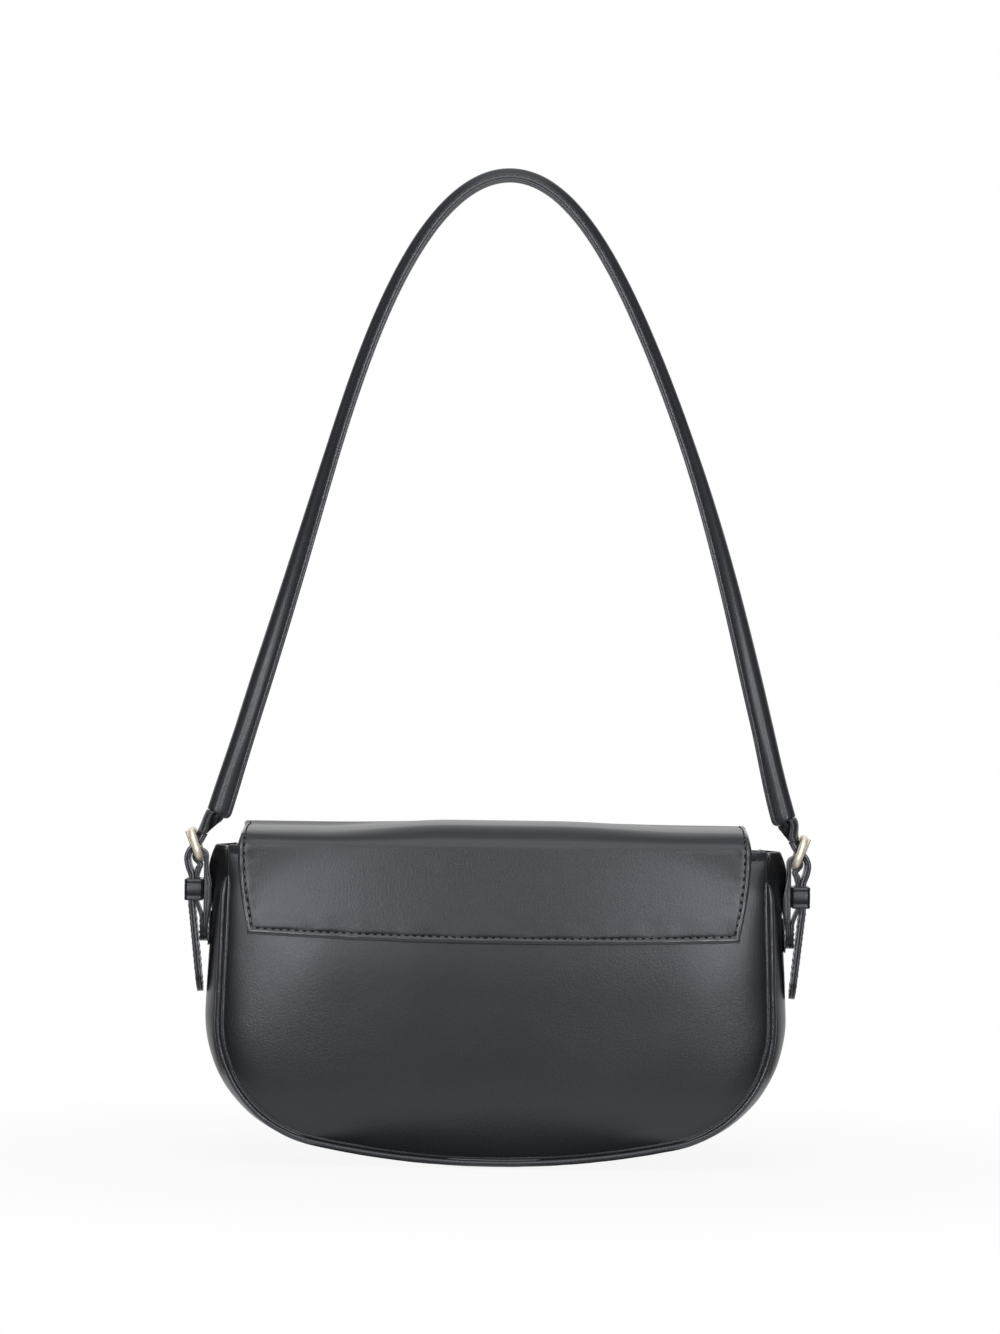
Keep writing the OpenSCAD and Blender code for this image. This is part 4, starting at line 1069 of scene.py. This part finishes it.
# Handle: a stitched roll over a filler cord, its flange turned to the back
handle = {"top": 445.6, "footX": 126.601, "footZ": 159.7, "footLean": 16.9, "rollR": 3.1, "footR": 4.3,
          "flangeW": 3.0, "flangeT": 2.4, "coreR": 1.9, "shoulder": 0.442, "pull": 0.44, "steps": 90,
          "endL": 4.0, "footTurn": 40.0, "shoulderTurn": 66.0, "topTurn": 74.0, "rollShare": 0.565,
          "rollPower": 1.3, "flangeStart": 0.2, "flangeEnd": 2.6, "flangeMore": 1.2, "flangeMoreH": 43.75,
          "slim": 1.2, "fuller": (0.15, 0.5, 250.0, 90.0), "fullerFrom": 170.0, "fullerRise": 50.0,
          "slant": 2.2, "slantReach": 7.0, "slantFrom": 0.3, "lumps": 0.012, "lumpSize": 3.5, "coreSides": 18,
          "strands": (3, 0.07, 0.9), "stitchIn": 1.5, "stitchUp": 0.86, "stitchFrom": 7.0,
          "thread": (3.2, 2.2, 0.27, 0.1)}
# The empty handle leans to one side: rise, start and reach of each part of the lean
swayParts = {"low": (1.4, 146.0, 10.0), "rise": (1.8, 156.0, 290.0), "middle": (2.1, 270.0, 80.0, 40.0),
             "top": (-1.7, 300.0, 130.0)}
axisTop = handle["top"] - handle["rollR"]
lean = math.radians(handle["footLean"])
footDir = (math.sin(lean), -math.cos(lean))
foot = (handle["footX"], handle["footZ"])


def sway(z):
    low, rise, middle, top = swayParts.values()
    side = low[0] * ease((z - low[1]) / low[2]) + rise[0] * clamp((z - rise[1]) / rise[2])
    side += middle[0] * bell(z - middle[1], middle[2]) * ease((z - rise[1]) / middle[3])
    return side + top[0] * ease((z - top[1]) / top[2])


def handleLine():
    p = [(0, axisTop), (handle["shoulder"] * foot[0], axisTop),
         plus(foot, footDir, -handle["pull"] * (axisTop - foot[1])), foot]

    def curve(t):
        w = [(1 - t) ** 3, 3 * (1 - t) ** 2 * t, 3 * (1 - t) * t * t, t ** 3]
        return tuple(sum(w[k] * p[k][n] for k in range(4)) for n in (0, 1))
    half = [curve(t) for t in spread(0, 1, handle["steps"])]
    return wholeOutline(half + [plus(foot, footDir, e) for e in spread(0, handle["endL"], 5)[1:]])


handlePath = handleLine()
handleSteps = [math.dist(a, b) for a, b in zip(handlePath, handlePath[1:])]


def upShare(z):
    return max(0.0, (z - foot[1]) / (axisTop - foot[1])) / handle["rollShare"]


def twistAt(z):
    s = upShare(z)
    if s < 1:
        return lerp(handle["footTurn"], handle["shoulderTurn"], s)
    return lerp(handle["shoulderTurn"], handle["topTurn"], (s - 1) / (1 / handle["rollShare"] - 1))


def rollAt(z):
    least, most, at, width = handle["fuller"]
    fuller = (least + most * bell(z - at, width)) * ease((z - handle["fullerFrom"]) / handle["fullerRise"])
    return lerp(handle["footR"], handle["rollR"], min(1.0, upShare(z)) ** handle["rollPower"]) + fuller


def handleFrame(i):
    x, z = handlePath[i]
    nx, nz = outlineNormal(handlePath, i)
    u, v, turn = Vector((nx, 0, nz)), Vector((0, -1, 0)), math.radians(twistAt(z))
    f, g = u * math.cos(turn) + v * math.sin(turn), v * math.cos(turn) - u * math.sin(turn)
    return Vector((x + sway(z), 0, z)), f, g


# The flange's section by the way back from its cut edge, its share of half the thickness, and its wear
flangeShape = [(2.35, 1.1, 0.0), (1.75, 0.94, 0.0), (1.15, 0.86, 0.0), (0.75, 0.98, 0.3), (0.3, 1.0, 0.8),
               (0.04, 0.8, 1.0), (0.0, 0.45, 0.9), (0.05, 0.16, 0.6), (0.4, 0.0, 0.0)]
slimShape = {"root": 0.85, "end": 0.3, "steps": (0.2, 0.4, 0.6, 0.75, 0.88, 0.96), "thin": 0.8,
             "edge": [(0.05, 0.45, 0.5), (0.02, 0.16, 0.5), (0.0, 0.0, 0.0)]}


def rollSection(r, reach):
    # half of the section from the back of the roll to the middle of the cut edge: (f, g, wear)
    h, end = handle["flangeT"] / 2, r + reach
    pts = [(r * math.cos(a), r * math.sin(a), 0.0) for a in turnsOf(180, 34, 11)]
    if reach > handle["slim"]:
        return pts + [(end - back, h * share, wear_and_highlight) for back, share, wear_and_highlight in flangeShape]
    k = max(reach, 0.02) / handle["slim"]
    root, tip = r * slimShape["root"], end - slimShape["end"]
    pts += [(lerp(root, tip, s), h * lerp(1.0, slimShape["thin"], s), 0.0) for s in slimShape["steps"]]
    return pts + [(end - back, h * share, wear_and_highlight * k) for back, share, wear_and_highlight in slimShape["edge"]]


def handleEnd(i):
    return sum(handleSteps[i:] if i > len(handleSteps) / 2 else handleSteps[:i])


def flangeReach(i):
    k = clamp((handleEnd(i) - handle["flangeStart"]) / handle["flangeEnd"])
    more = handle["flangeMore"] * (1 - ease((handlePath[i][1] - foot[1]) / handle["flangeMoreH"]))
    return (handle["flangeW"] + more) * math.sqrt(max(0.0, 1 - (1 - k) ** 2))


def makeHandle():
    rings, bores, marks, cores = [], [], [], []
    bore, sides = handle["coreR"] + bag["seamGap"], handle["coreSides"]
    strands, strand, turn = handle["strands"]
    for i, (_, z) in enumerate(handlePath):
        c, f, g = handleFrame(i)

        def around(a, r):
            return tuple(c + (f * math.cos(a) + g * math.sin(a)) * r)
        r = rollAt(z)
        half = rollSection(r, flangeReach(i))
        lumps = 1 + handle["lumps"] * softNoise(i, 0, 3, handle["lumpSize"])
        full = [(a, b * lumps, w) for a, b, w in half]
        full += [(a, -b, w) for a, b, w in reversed(full[1:-1])]
        near = handle["slant"] * (1 - ease(handleEnd(i) / handle["slantReach"]))
        start, reach = handle["slantFrom"] * r, max(a for a, _, _ in full)
        down = f.cross(g)
        down = down if down.z < 0 else -down
        rings.append([tuple(c + f * a + g * b + down * near * ease((a - start) / (reach - start)))
                      for a, b, _ in full])
        marks += [w for _, _, w in full]
        bores.append([around(math.pi - 2 * math.pi * k / len(full), bore) for k in range(len(full))])
        turns = [2 * math.pi * k / sides for k in range(sides)]
        cores.append([around(a, handle["coreR"] * (1 - strand + strand * math.cos(strands * a + i * turn)))
                      for a in turns])
    roll = hollowLoft("handle_roll", rings, bores, marks + [0.0] * len(marks))
    settle(roll, "handle", "handle", "handle_cover")
    settle(loftMesh("handle_filler_cord", cores), "cord", "handle", "handle_core", slot="cord")


def makeHandleStitches():
    tracks = [[], []]
    for i in range(len(handlePath)):
        if handleEnd(i) < handle["stitchFrom"]:
            continue
        c, f, g = handleFrame(i)
        at = rollAt(handlePath[i][1]) + flangeReach(i) - handle["stitchIn"]
        up = handle["flangeT"] / 2 * handle["stitchUp"]
        for track, side in zip(tracks, (1, -1)):
            track.append((tuple(c + f * at + g * side * up), tuple(g * side)))
    settle(stitchMesh("handle_stitches", tracks, *handle["thread"]), "handleThread", "handle")


makeHandle()
makeHandleStitches()
print("handle made")

# Straps, chapes, keepers and tabs, drawn for the right side and mirrored for the left
strap = {"w": 15.0, "t": 2.6, "neckL": 10.4, "neckT": 1.8, "spine": 0.85, "opened": 0.72, "openPower": 0.75,
         "cup": 2.3, "cupReach": 8.0, "tailL": 40.0, "tailLean": 6.2, "ease": 1.2, "bend": 4.0,
         "route": [(-0.02, 0.02), (0.15, -0.15), (0.24, -0.385), (0.2, -0.66)], "holeR": 1.2,
         "holeStep": 8.0, "holes": 3, "slot": (14.0, 84.0), "groove": 0.22, "neckEdges": [0, 0.4, 1.2],
         "stitchIn": 1.9, "thread": (2.9, 2.0, 0.22, 0.08)}
buckle = {"x": 135.101, "z": 141.5, "l": 15.3, "wireR": 1.8, "tilt": 19.0, "prongR": 0.8}
chape = {"w": 12.0, "t": 1.8, "z": 104.0, "layerT": 1.5, "lean": 2.0, "leanLow": 104.0, "leanHigh": 132.0,
         "layers": [(0.0, -0.235), (0.05, -0.37), (0.07, -0.5)], "pad": 1.1, "padZ": 130.5, "padReach": 3.0,
         "joinGap": 0.06, "groove": 0.12, "hole": 0.4, "wrap": 118.0, "stitchIn": 1.6,
         "rows": (-1.2, 1.5, 4.4), "thread": (2.6, 1.9, 0.24, 0.08)}
keeper = {"z": 121.2, "h": 9.6, "t": 1.5, "gap": 0.6, "layerGap": 0.25, "snug": 0.45, "innerR": 0.35,
          "step": 1.2, "rim": [(0.0, 0.7, 0.2), (0.03, 0.25, 1.0), (0.3, 0.0, 0.8), (0.7, 0.0, 0.8),
                               (0.97, 0.25, 0.4), (1.0, 0.7, 0.0)],
          "crease": [(0.0, 1.7, 0.0), (0.09, 2.0, 0.0), (0.0, 2.3, 0.0)]}
tab = {"t": 0.6, "margin": 1.0, "edges": [0, 0.3, 0.9], "stitchIn": 0.6, "thread": (2.6, 1.8, 0.16, 0.06)}

tilt = math.radians(buckle["tilt"])
barOff = buckle["l"] / 2 - buckle["wireR"]
barC = (buckle["x"] - math.sin(tilt) * barOff, buckle["z"] - math.cos(tilt) * barOff)
neckStart = plus(foot, footDir, handle["endL"] + bag["seamGap"])
neckEnd = plus(neckStart, footDir, strap["neckL"])
neckSpine = handle["footR"] - strap["neckT"] / 2
chapeR = buckle["wireR"] + bag["seamGap"] + chape["t"]
chapeX = barC[0] - chapeR
joinedX = chapeX + chape["t"] + chape["layerT"] / 2 + chape["joinGap"]
cavityX0 = chapeX + chape["t"] + keeper["gap"] + keeper["t"]
layerX = cavityX0 + keeper["layerGap"] + chape["layerT"] / 2
strapX = layerX + chape["layerT"] / 2 + keeper["layerGap"] + strap["t"] / 2
cavityX1 = strapX + strap["t"] / 2 + keeper["layerGap"]
keeperLow, keeperHigh = keeper["z"] - keeper["h"] / 2, keeper["z"] + keeper["h"] / 2
slotW = 2 * buckle["prongR"] + 4 * bag["slideGap"]
tailDir = (-math.sin(math.radians(strap["tailLean"])), -math.cos(math.radians(strap["tailLean"])))
tailStart = (strapX, keeperLow - strap["ease"])
tailEnd = plus(tailStart, tailDir, strap["tailL"])


def smoothPath(p, steps):
    def at(i):
        return p[min(max(i, 0), len(p) - 1)]
    made = []
    for i in range(len(p) - 1):
        a, b, c, d = at(i - 1), p[i], p[i + 1], at(i + 2)
        for k in range(steps):
            s = k / steps
            made.append(tuple(b[n] + (c[n] - a[n]) * s / 2 + (a[n] - 2.5 * b[n] + 2 * c[n] - d[n] / 2) * s * s
                              + (1.5 * b[n] - a[n] / 2 - 1.5 * c[n] + d[n] / 2) * s ** 3 for n in (0, 1)))
    return made + [p[-1]]


def besideBuckle(places):
    return [(buckle["x"] + a * buckle["l"], buckle["z"] + b * buckle["l"]) for a, b in places]


def fromBar(r, degrees):
    a = math.radians(degrees)
    return barC[0] + r * math.sin(a), barC[1] + r * math.cos(a)


def roundEnd(w, tip):
    # width of a band with a round end, at a distance from its tip
    return w * math.sqrt(max(0.004, 1 - clamp(1 - tip / (w / 2)) ** 2))


def strapLine():
    start = plus(neckEnd, footDir, 2 * bag["seamGap"])
    start = plus(start, (-footDir[1], footDir[0]), neckSpine * strap["spine"])
    route = [start, plus(start, footDir, strap["ease"])] + besideBuckle(strap["route"])
    route += [(strapX, keeperHigh + strap["ease"]), (strapX, keeper["z"])]
    route += [plus(tailStart, tailDir, e * strap["bend"]) for e in (0, 1, 2)]
    r = strap["w"] / 2
    ends = spread(2 * strap["bend"], strap["tailL"] - r, 12)[1:]
    ends += [strap["tailL"] - r * (1 - math.sin(a)) for a in turnsOf(0, 86, 14)[1:]]
    return smoothPath(route, 8) + [plus(tailStart, tailDir, e) for e in ends]


def bandRings(path, widths, thick, groove, sideways, cups=None):
    # a flat band: rounded long edges with a groove where its two layers meet, cupped towards the bag
    rings, marks = [], []
    for i, c in enumerate(path):
        nx, nz = outlineNormal(path, i)
        w, t = widths[i] / 2, thick[i] / 2
        lip = min(0.45, w * 0.5)
        side = [(1, 0, 0.0), (1, w * 0.5, 0.0), (1, w - 3 * lip, 0.0), (1, w - lip, 0.3),
                (0.88, w - lip * 0.3, 1.0), (0.55, w, 0.8), (0.2, w, 0.8)]
        half = [(-t * k, b, m) for k, b, m in side] + [(0, w - min(groove, w * 0.3), 0.0)]
        half += [(t * k, b, m) for k, b, m in reversed(side)]
        full = half + [(a, -b, m) for a, b, m in reversed(half[1:-1])]
        sag = cups[i] / w ** 2 if cups else 0
        bent = [(a + sag * b * b, b) for a, b, _ in full]
        rings.append([(sideways * (c[0] + nx * a), b, c[1] + nz * a) for a, b in bent])
        marks += [m for _, _, m in full]
    return rings, marks


def holeCutter(x, z, r, length=12.0, sides=20):
    turns = [2 * math.pi * k / sides for k in range(sides)]
    return loftMesh("hole", [[(end, r * math.cos(a), z + r * math.sin(a)) for a in turns]
                             for end in (x - length, x + length)])


def slotCutter(corners, sideways):
    return loftMesh("slot", [[(sideways * x, y, z) for x, z in corners] for y in (-slotW / 2, slotW / 2)])


def makeStrap(tag, sideways):
    path = strapLine()
    widths = [roundEnd(strap["w"], math.dist(p, tailEnd)) for p in path]
    cups = [strap["cup"] * (1 - ease(math.dist(p, path[0]) / strap["cupReach"])) for p in path]
    rings, marks = bandRings(path, widths, [strap["t"]] * len(path), strap["groove"], sideways, cups)
    piece = loftMesh("strap_%s_leather" % tag, rings, marks)
    cutters = [holeCutter(sideways * strapX, keeperLow - strap["holeStep"] * i, strap["holeR"])
               for i in range(1, strap["holes"] + 1)]
    ends = [(chapeR, 0), (2 * barOff, 0), (2 * barOff, 1), (chapeR, 1)]
    corners = [fromBar(r, strap["slot"][k]) for r, k in ends]
    cut(piece, cutters + [slotCutter(corners, sideways)])
    settle(piece, "strap", "handle", "strap_" + tag)

    def spot(p, y, n, face):
        t = strap["t"] / 2 * face
        return (sideways * (p[0] + n[0] * t), y, p[1] + n[1] * t), (sideways * n[0] * face, 0, n[1] * face)
    r, turns = strap["w"] / 2 - strap["stitchIn"], turnsOf(-90, 90, 20)
    low = [i for i, p in enumerate(path) if p[1] < keeperLow - 1 and i < len(path) - 15]
    tracks = [[spot(path[i], y, outlineNormal(path, i), face) for i in low]
              for y in (-r, r) for face in (1, -1)]
    tip, normal = plus(tailEnd, tailDir, -strap["w"] / 2), (-tailDir[1], tailDir[0])
    tracks += [[spot(plus(tip, tailDir, r * math.cos(a)), r * math.sin(a), normal, face) for a in turns]
               for face in (1, -1)]
    settle(stitchMesh("strap_%s_stitches" % tag, tracks, *strap["thread"]), "thread", "handle")


def makeFoot(tag, sideways):
    inward = (footDir[1], -footDir[0])
    rows = rectRows(edgeShares(strap["w"], 18, strap["neckEdges"]),
                    edgeShares(strap["neckL"], 14, strap["neckEdges"][:2]))

    def place(p, depth):
        across, s = p
        soft = strap["opened"] * s ** strap["openPower"]
        c = plus(neckStart, footDir, strap["neckL"] * s)
        c = plus(c, inward, -neckSpine * lerp(1, strap["spine"], ease(s)))
        turn = math.radians(handle["footTurn"] * (1 - ease(s)))
        r, middle = neckSpine / (1 - soft), neckSpine * (1 - soft)
        a, d = strap["w"] * (across - 0.5) / r, lerp(strap["neckT"], strap["t"], s) * (0.5 - depth)
        px, py = r - (r + d) * math.cos(a) - middle, (r + d) * math.sin(a)
        x, z = plus(c, inward, px * math.cos(turn) + py * math.sin(turn) + middle)
        return sideways * x + sway(z), py * math.cos(turn) - px * math.sin(turn), z
    piece = sheetMesh("handle_foot_%s_leather" % tag, rows, place, 1.0)
    settle(piece, "handle", "handle", "handle_foot_" + tag)


def chapeLine():
    path, thick = [], []
    low = chape["z"] - chape["w"] / 2
    for z in spread(low, barC[1], 30):
        up = clamp((z - chape["leanLow"]) / (chape["leanHigh"] - chape["leanLow"]))
        more = chape["lean"] * math.sin(math.pi * up) ** 2
        path.append((chapeX + (chape["t"] - more) / 2, z))
        thick.append(chape["t"] + more)
    for a in spread(-90, chape["wrap"], 26)[1:]:
        thick.append(lerp(chape["t"], chape["layerT"], ease((a + 90) / 200)))
        path.append(fromBar(buckle["wireR"] + bag["seamGap"] + thick[-1] / 2, a))
    route = [path[-1]] + [(barC[0] + a * buckle["l"], barC[1] + b * buckle["l"]) for a, b in chape["layers"]]
    route += [(layerX, z) for z in (keeperHigh + strap["ease"], keeper["z"], keeperLow - strap["ease"] / 2)]
    route += [((layerX + joinedX) / 2, keeperLow - strap["bend"]), (joinedX, chape["z"] + chape["w"] / 3),
              (joinedX, low)]
    more = smoothPath(route, 6)[1:]
    thick += [chape["layerT"] + chape["pad"] * bell(z - chape["padZ"], chape["padReach"]) for _, z in more]
    return path + more, thick


def makeChape(tag, sideways):
    path, thick = chapeLine()
    low = chape["z"] - chape["w"] / 2
    widths = [roundEnd(chape["w"], z - low) for _, z in path]
    rings, marks = bandRings(path, widths, thick, chape["groove"], sideways)
    piece = loftMesh("chape_%s_leather" % tag, rings, marks)
    cut(piece, [slotCutter([fromBar(chapeR + chape["hole"], 15 * k) for k in range(24)], sideways)])
    settle(piece, "strap", "handle", "chape_" + tag)
    outer, r = joinedX + chape["layerT"] / 2, chape["w"] / 2 - chape["stitchIn"]
    down, up, top = [chape["z"] + z for z in chape["rows"]]
    turns = turnsOf(-90, 90, 16)
    loop = [(r * math.sin(a), down - r * math.cos(a)) for a in turns]
    loop = [(-r, top), (-r, up)] + loop + [(r, up), (r, top)]
    tracks = [[((sideways * outer, y, z), (sideways, 0, 0)) for y, z in line]
              for line in (loop, [(y, top) for y in spread(r, -r, 6)])]
    settle(stitchMesh("chape_%s_stitches" % tag, tracks, *chape["thread"]), "thread", "handle")


def roundedLoop(x0, x1, half, r):
    loop = []
    left, right, near, far = x0 + r, x1 - r, r - half, half - r
    for x, y, a0 in ((right, far, 0), (left, far, 90), (left, near, 180), (right, near, 270)):
        loop += [(x + r * math.cos(a), y + r * math.sin(a)) for a in turnsOf(a0, a0 + 90, 8)]
    dense = []
    for p, q in zip(loop, loop[1:] + loop[:1]):
        count = max(1, int(math.dist(p, q) / keeper["step"]))
        dense += [(lerp(p[0], q[0], s), lerp(p[1], q[1], s)) for s in spread(0, 1, count)[:-1]]
    return dense


def makeKeeper(tag, sideways):
    # a leather loop: rings run across its band, with softly rounded rims and a shallow crease in the middle
    t, h, rim, crease = [keeper[key] for key in ("t", "h", "rim", "crease")]
    half = strap["w"] / 2 + bag["slideGap"]
    loop = roundedLoop(cavityX0 - t - keeper["snug"], cavityX1 + t, half + t, t)
    inner = roundedLoop(cavityX0, cavityX1, half, keeper["innerR"])
    profile = rim + [(1.0, h / 2, 0.0)] + [(d, h - z, mark) for d, z, mark in rim[::-1] + crease]
    profile += [(0.0, h / 2, 0.0)] + crease[::-1]
    points, marks = [], []
    for o in loop:
        i = min(inner, key=lambda q: math.dist(q, o))
        for depth, z, mark in profile:
            points.append((sideways * lerp(o[0], i[0], depth), lerp(o[1], i[1], depth), keeperLow + z))
            marks.append(mark)
    faces = [tuple(k % len(points) for k in face) for face in ringFaces(len(profile), len(loop) + 1)]
    settle(addMesh("keeper_%s_leather" % tag, points, faces, marks), "strap", "handle", "keeper_" + tag)


def makeTab(tag, sideways):
    knee = outerOutline(bag["height"])[-1 - outlineSteps["side"]]
    side = math.radians(bag["sideLean"])
    x = knee[0] - (chape["z"] - knee[1]) * math.tan(side) + bag["seamGap"]
    w, h = chape["w"] / 2 + tab["margin"], (chape["w"] + 3 * tab["margin"]) / 2

    def place(p, depth):
        (y, z), out = p, tab["t"] - depth
        return (sideways * (x + out * math.cos(side) - z * math.sin(side)), y,
                chape["z"] + z * math.cos(side) + out * math.sin(side))
    rows = rectRows(edgeSteps(-w, w, 8, tab["edges"]), edgeSteps(-h, h, 8, tab["edges"]))
    settle(sheetMesh("side_tab_%s_leather" % tag, rows, place, tab["t"]), "strap", "bag", "side_tab_" + tag)
    w, h = w - tab["stitchIn"], h - tab["stitchIn"]
    loop = [(-w, -h), (w, -h), (w, h), (-w, h)]
    tracks = [straightTrack(place, a, b, 6, (sideways * math.cos(side), 0, math.sin(side)))
              for a, b in zip(loop, loop[1:] + loop[:1])]
    settle(stitchMesh("side_tab_%s_stitches" % tag, tracks, *tab["thread"]), "thread", "bag")


for tag, sideways in (("left", -1), ("right", 1)):
    for makePiece in (makeFoot, makeStrap, makeChape, makeKeeper, makeTab):
        makePiece(tag, sideways)
print("straps, chapes, keepers and tabs made")

# Solids that keep their shape get their finish
kept = {"gold": ["buckle_left", "buckle_right", "prong_left", "prong_right", "snap_socket", "socket_washer",
                 "snap_stud"], "magnet": ["snap_magnet"], "board": ["base_board"]}
for finish, nodes in kept.items():
    for name in nodes:
        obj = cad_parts[name]
        obj.data.materials.clear()
        obj.data.materials.append(finishes[finish])
        smoothByAngle(obj, sharpFrom["kept"])
print("hardware finished")

# Studio: a pale floor that turns white away from the object, soft boxes, a dark bowl that only gloss sees
studio = {"floor": 0.86, "floorSize": 6.0, "floorRough": 0.9, "floorGloss": 0.1, "near": 0.12, "far": 0.4,
          "lift": 0.91, "world": 0.2, "bowl": 0.04, "bowlR": 3.4, "bowlTurn": 120, "bowlRise": 62,
          "apron": [0.03, 0.09, 0.2], "apronZ": 0.002, "aim": (0, 0, 0.12),
          "lamps": [("left_box", (-0.62, -2.3, 0.3), (0.3, 1.0), 16.5),
                    ("right_box", (0.62, -2.3, 0.3), (0.3, 1.0), 16.5),
                    ("top_box", (0, -1.5, 1.5), (1.8, 1.6), 21.0)]}


def makeFloor():
    pale = {"Base Color": (studio["floor"],) * 3 + (1,), "Roughness": studio["floorRough"],
            "Specular IOR Level": studio["floorGloss"]}
    f = Finish("pale_floor", uniform=pale)
    away = f.node("ShaderNodeVectorMath", {"operation": "LENGTH"}, {0: f.stretched((1, 1, 0))}, out=1)
    share = ((away - studio["near"]) / (studio["far"] - studio["near"])).clamped() * (1 - studio["lift"])
    white = f.node("ShaderNodeEmission", None, {"Color": (1, 1, 1, 1), "Strength": 1.0})
    share = f.seen() * (share + studio["lift"])
    f.node("ShaderNodeMixShader", None, {0: share, 1: f.surface, 2: white}, to=f.out)
    size = studio["floorSize"]
    corners = [(-size, -size, 0), (size, -size, 0), (size, size, 0), (-size, size, 0)]
    addStage("floor", corners, [(0, 1, 2, 3)], f)


def addStage(name, points, faces, finish):
    mesh = bpy.data.meshes.new(name)
    mesh.from_pydata(points, [], faces)
    mesh.materials.append(finish.material)
    obj = bpy.data.objects.new(name, mesh)
    bpy.context.scene.collection.objects.link(obj)
    return obj


def makeWorld():
    f = Finish("studio", "World", "ShaderNodeBackground", {"Color": (1, 1, 1, 1)})
    level = f.seen() * (1 - studio["world"]) + studio["world"]
    f.tree.links.new(level.socket, f.shader.inputs["Strength"])
    bpy.context.scene.world = f.material


def addLamp(name, place, size, power):
    data = bpy.data.lights.new(name, "AREA")
    data.shape = "RECTANGLE"
    data.size, data.size_y = size
    data.energy = power
    lamp = bpy.data.objects.new(name, data)
    lamp.location = place
    lamp.rotation_mode = "QUATERNION"
    lamp.rotation_quaternion = (Vector(studio["aim"]) - Vector(place)).to_track_quat("-Z", "Y")
    bpy.context.scene.collection.objects.link(lamp)


def addBowl():
    f = Finish("dark_bowl", shader="ShaderNodeEmission", uniform={"Color": (studio["bowl"],) * 3 + (1,)})
    # its apron lies just over the floor in front of the object, then it rises as a dome
    turns = turnsOf(-studio["bowlTurn"], studio["bowlTurn"], 40)
    profile = [(r, studio["apronZ"]) for r in studio["apron"]]
    for rise in spread(0, math.radians(studio["bowlRise"]), 15):
        r = studio["bowlR"]
        profile.append((r * math.cos(rise), r * math.sin(rise) + studio["apronZ"]))
    points = [(r * math.sin(a), -r * math.cos(a), z) for r, z in profile for a in turns]
    n = len(turns)
    faces = [(j * n + i, j * n + i + 1, j * n + i + n + 1, j * n + i + n)
             for j in range(len(profile) - 1) if j != 1 for i in range(n - 1)]
    bowl = addStage("dark_bowl", points, faces, f)
    bowl.visible_camera = bowl.visible_diffuse = bowl.visible_shadow = False
    bowl.visible_transmission = bowl.visible_volume_scatter = False


makeFloor()
makeWorld()
addBowl()
for lamp in studio["lamps"]:
    addLamp(*lamp)
bpy.context.scene.view_settings.view_transform = "Standard"
print("studio lit")
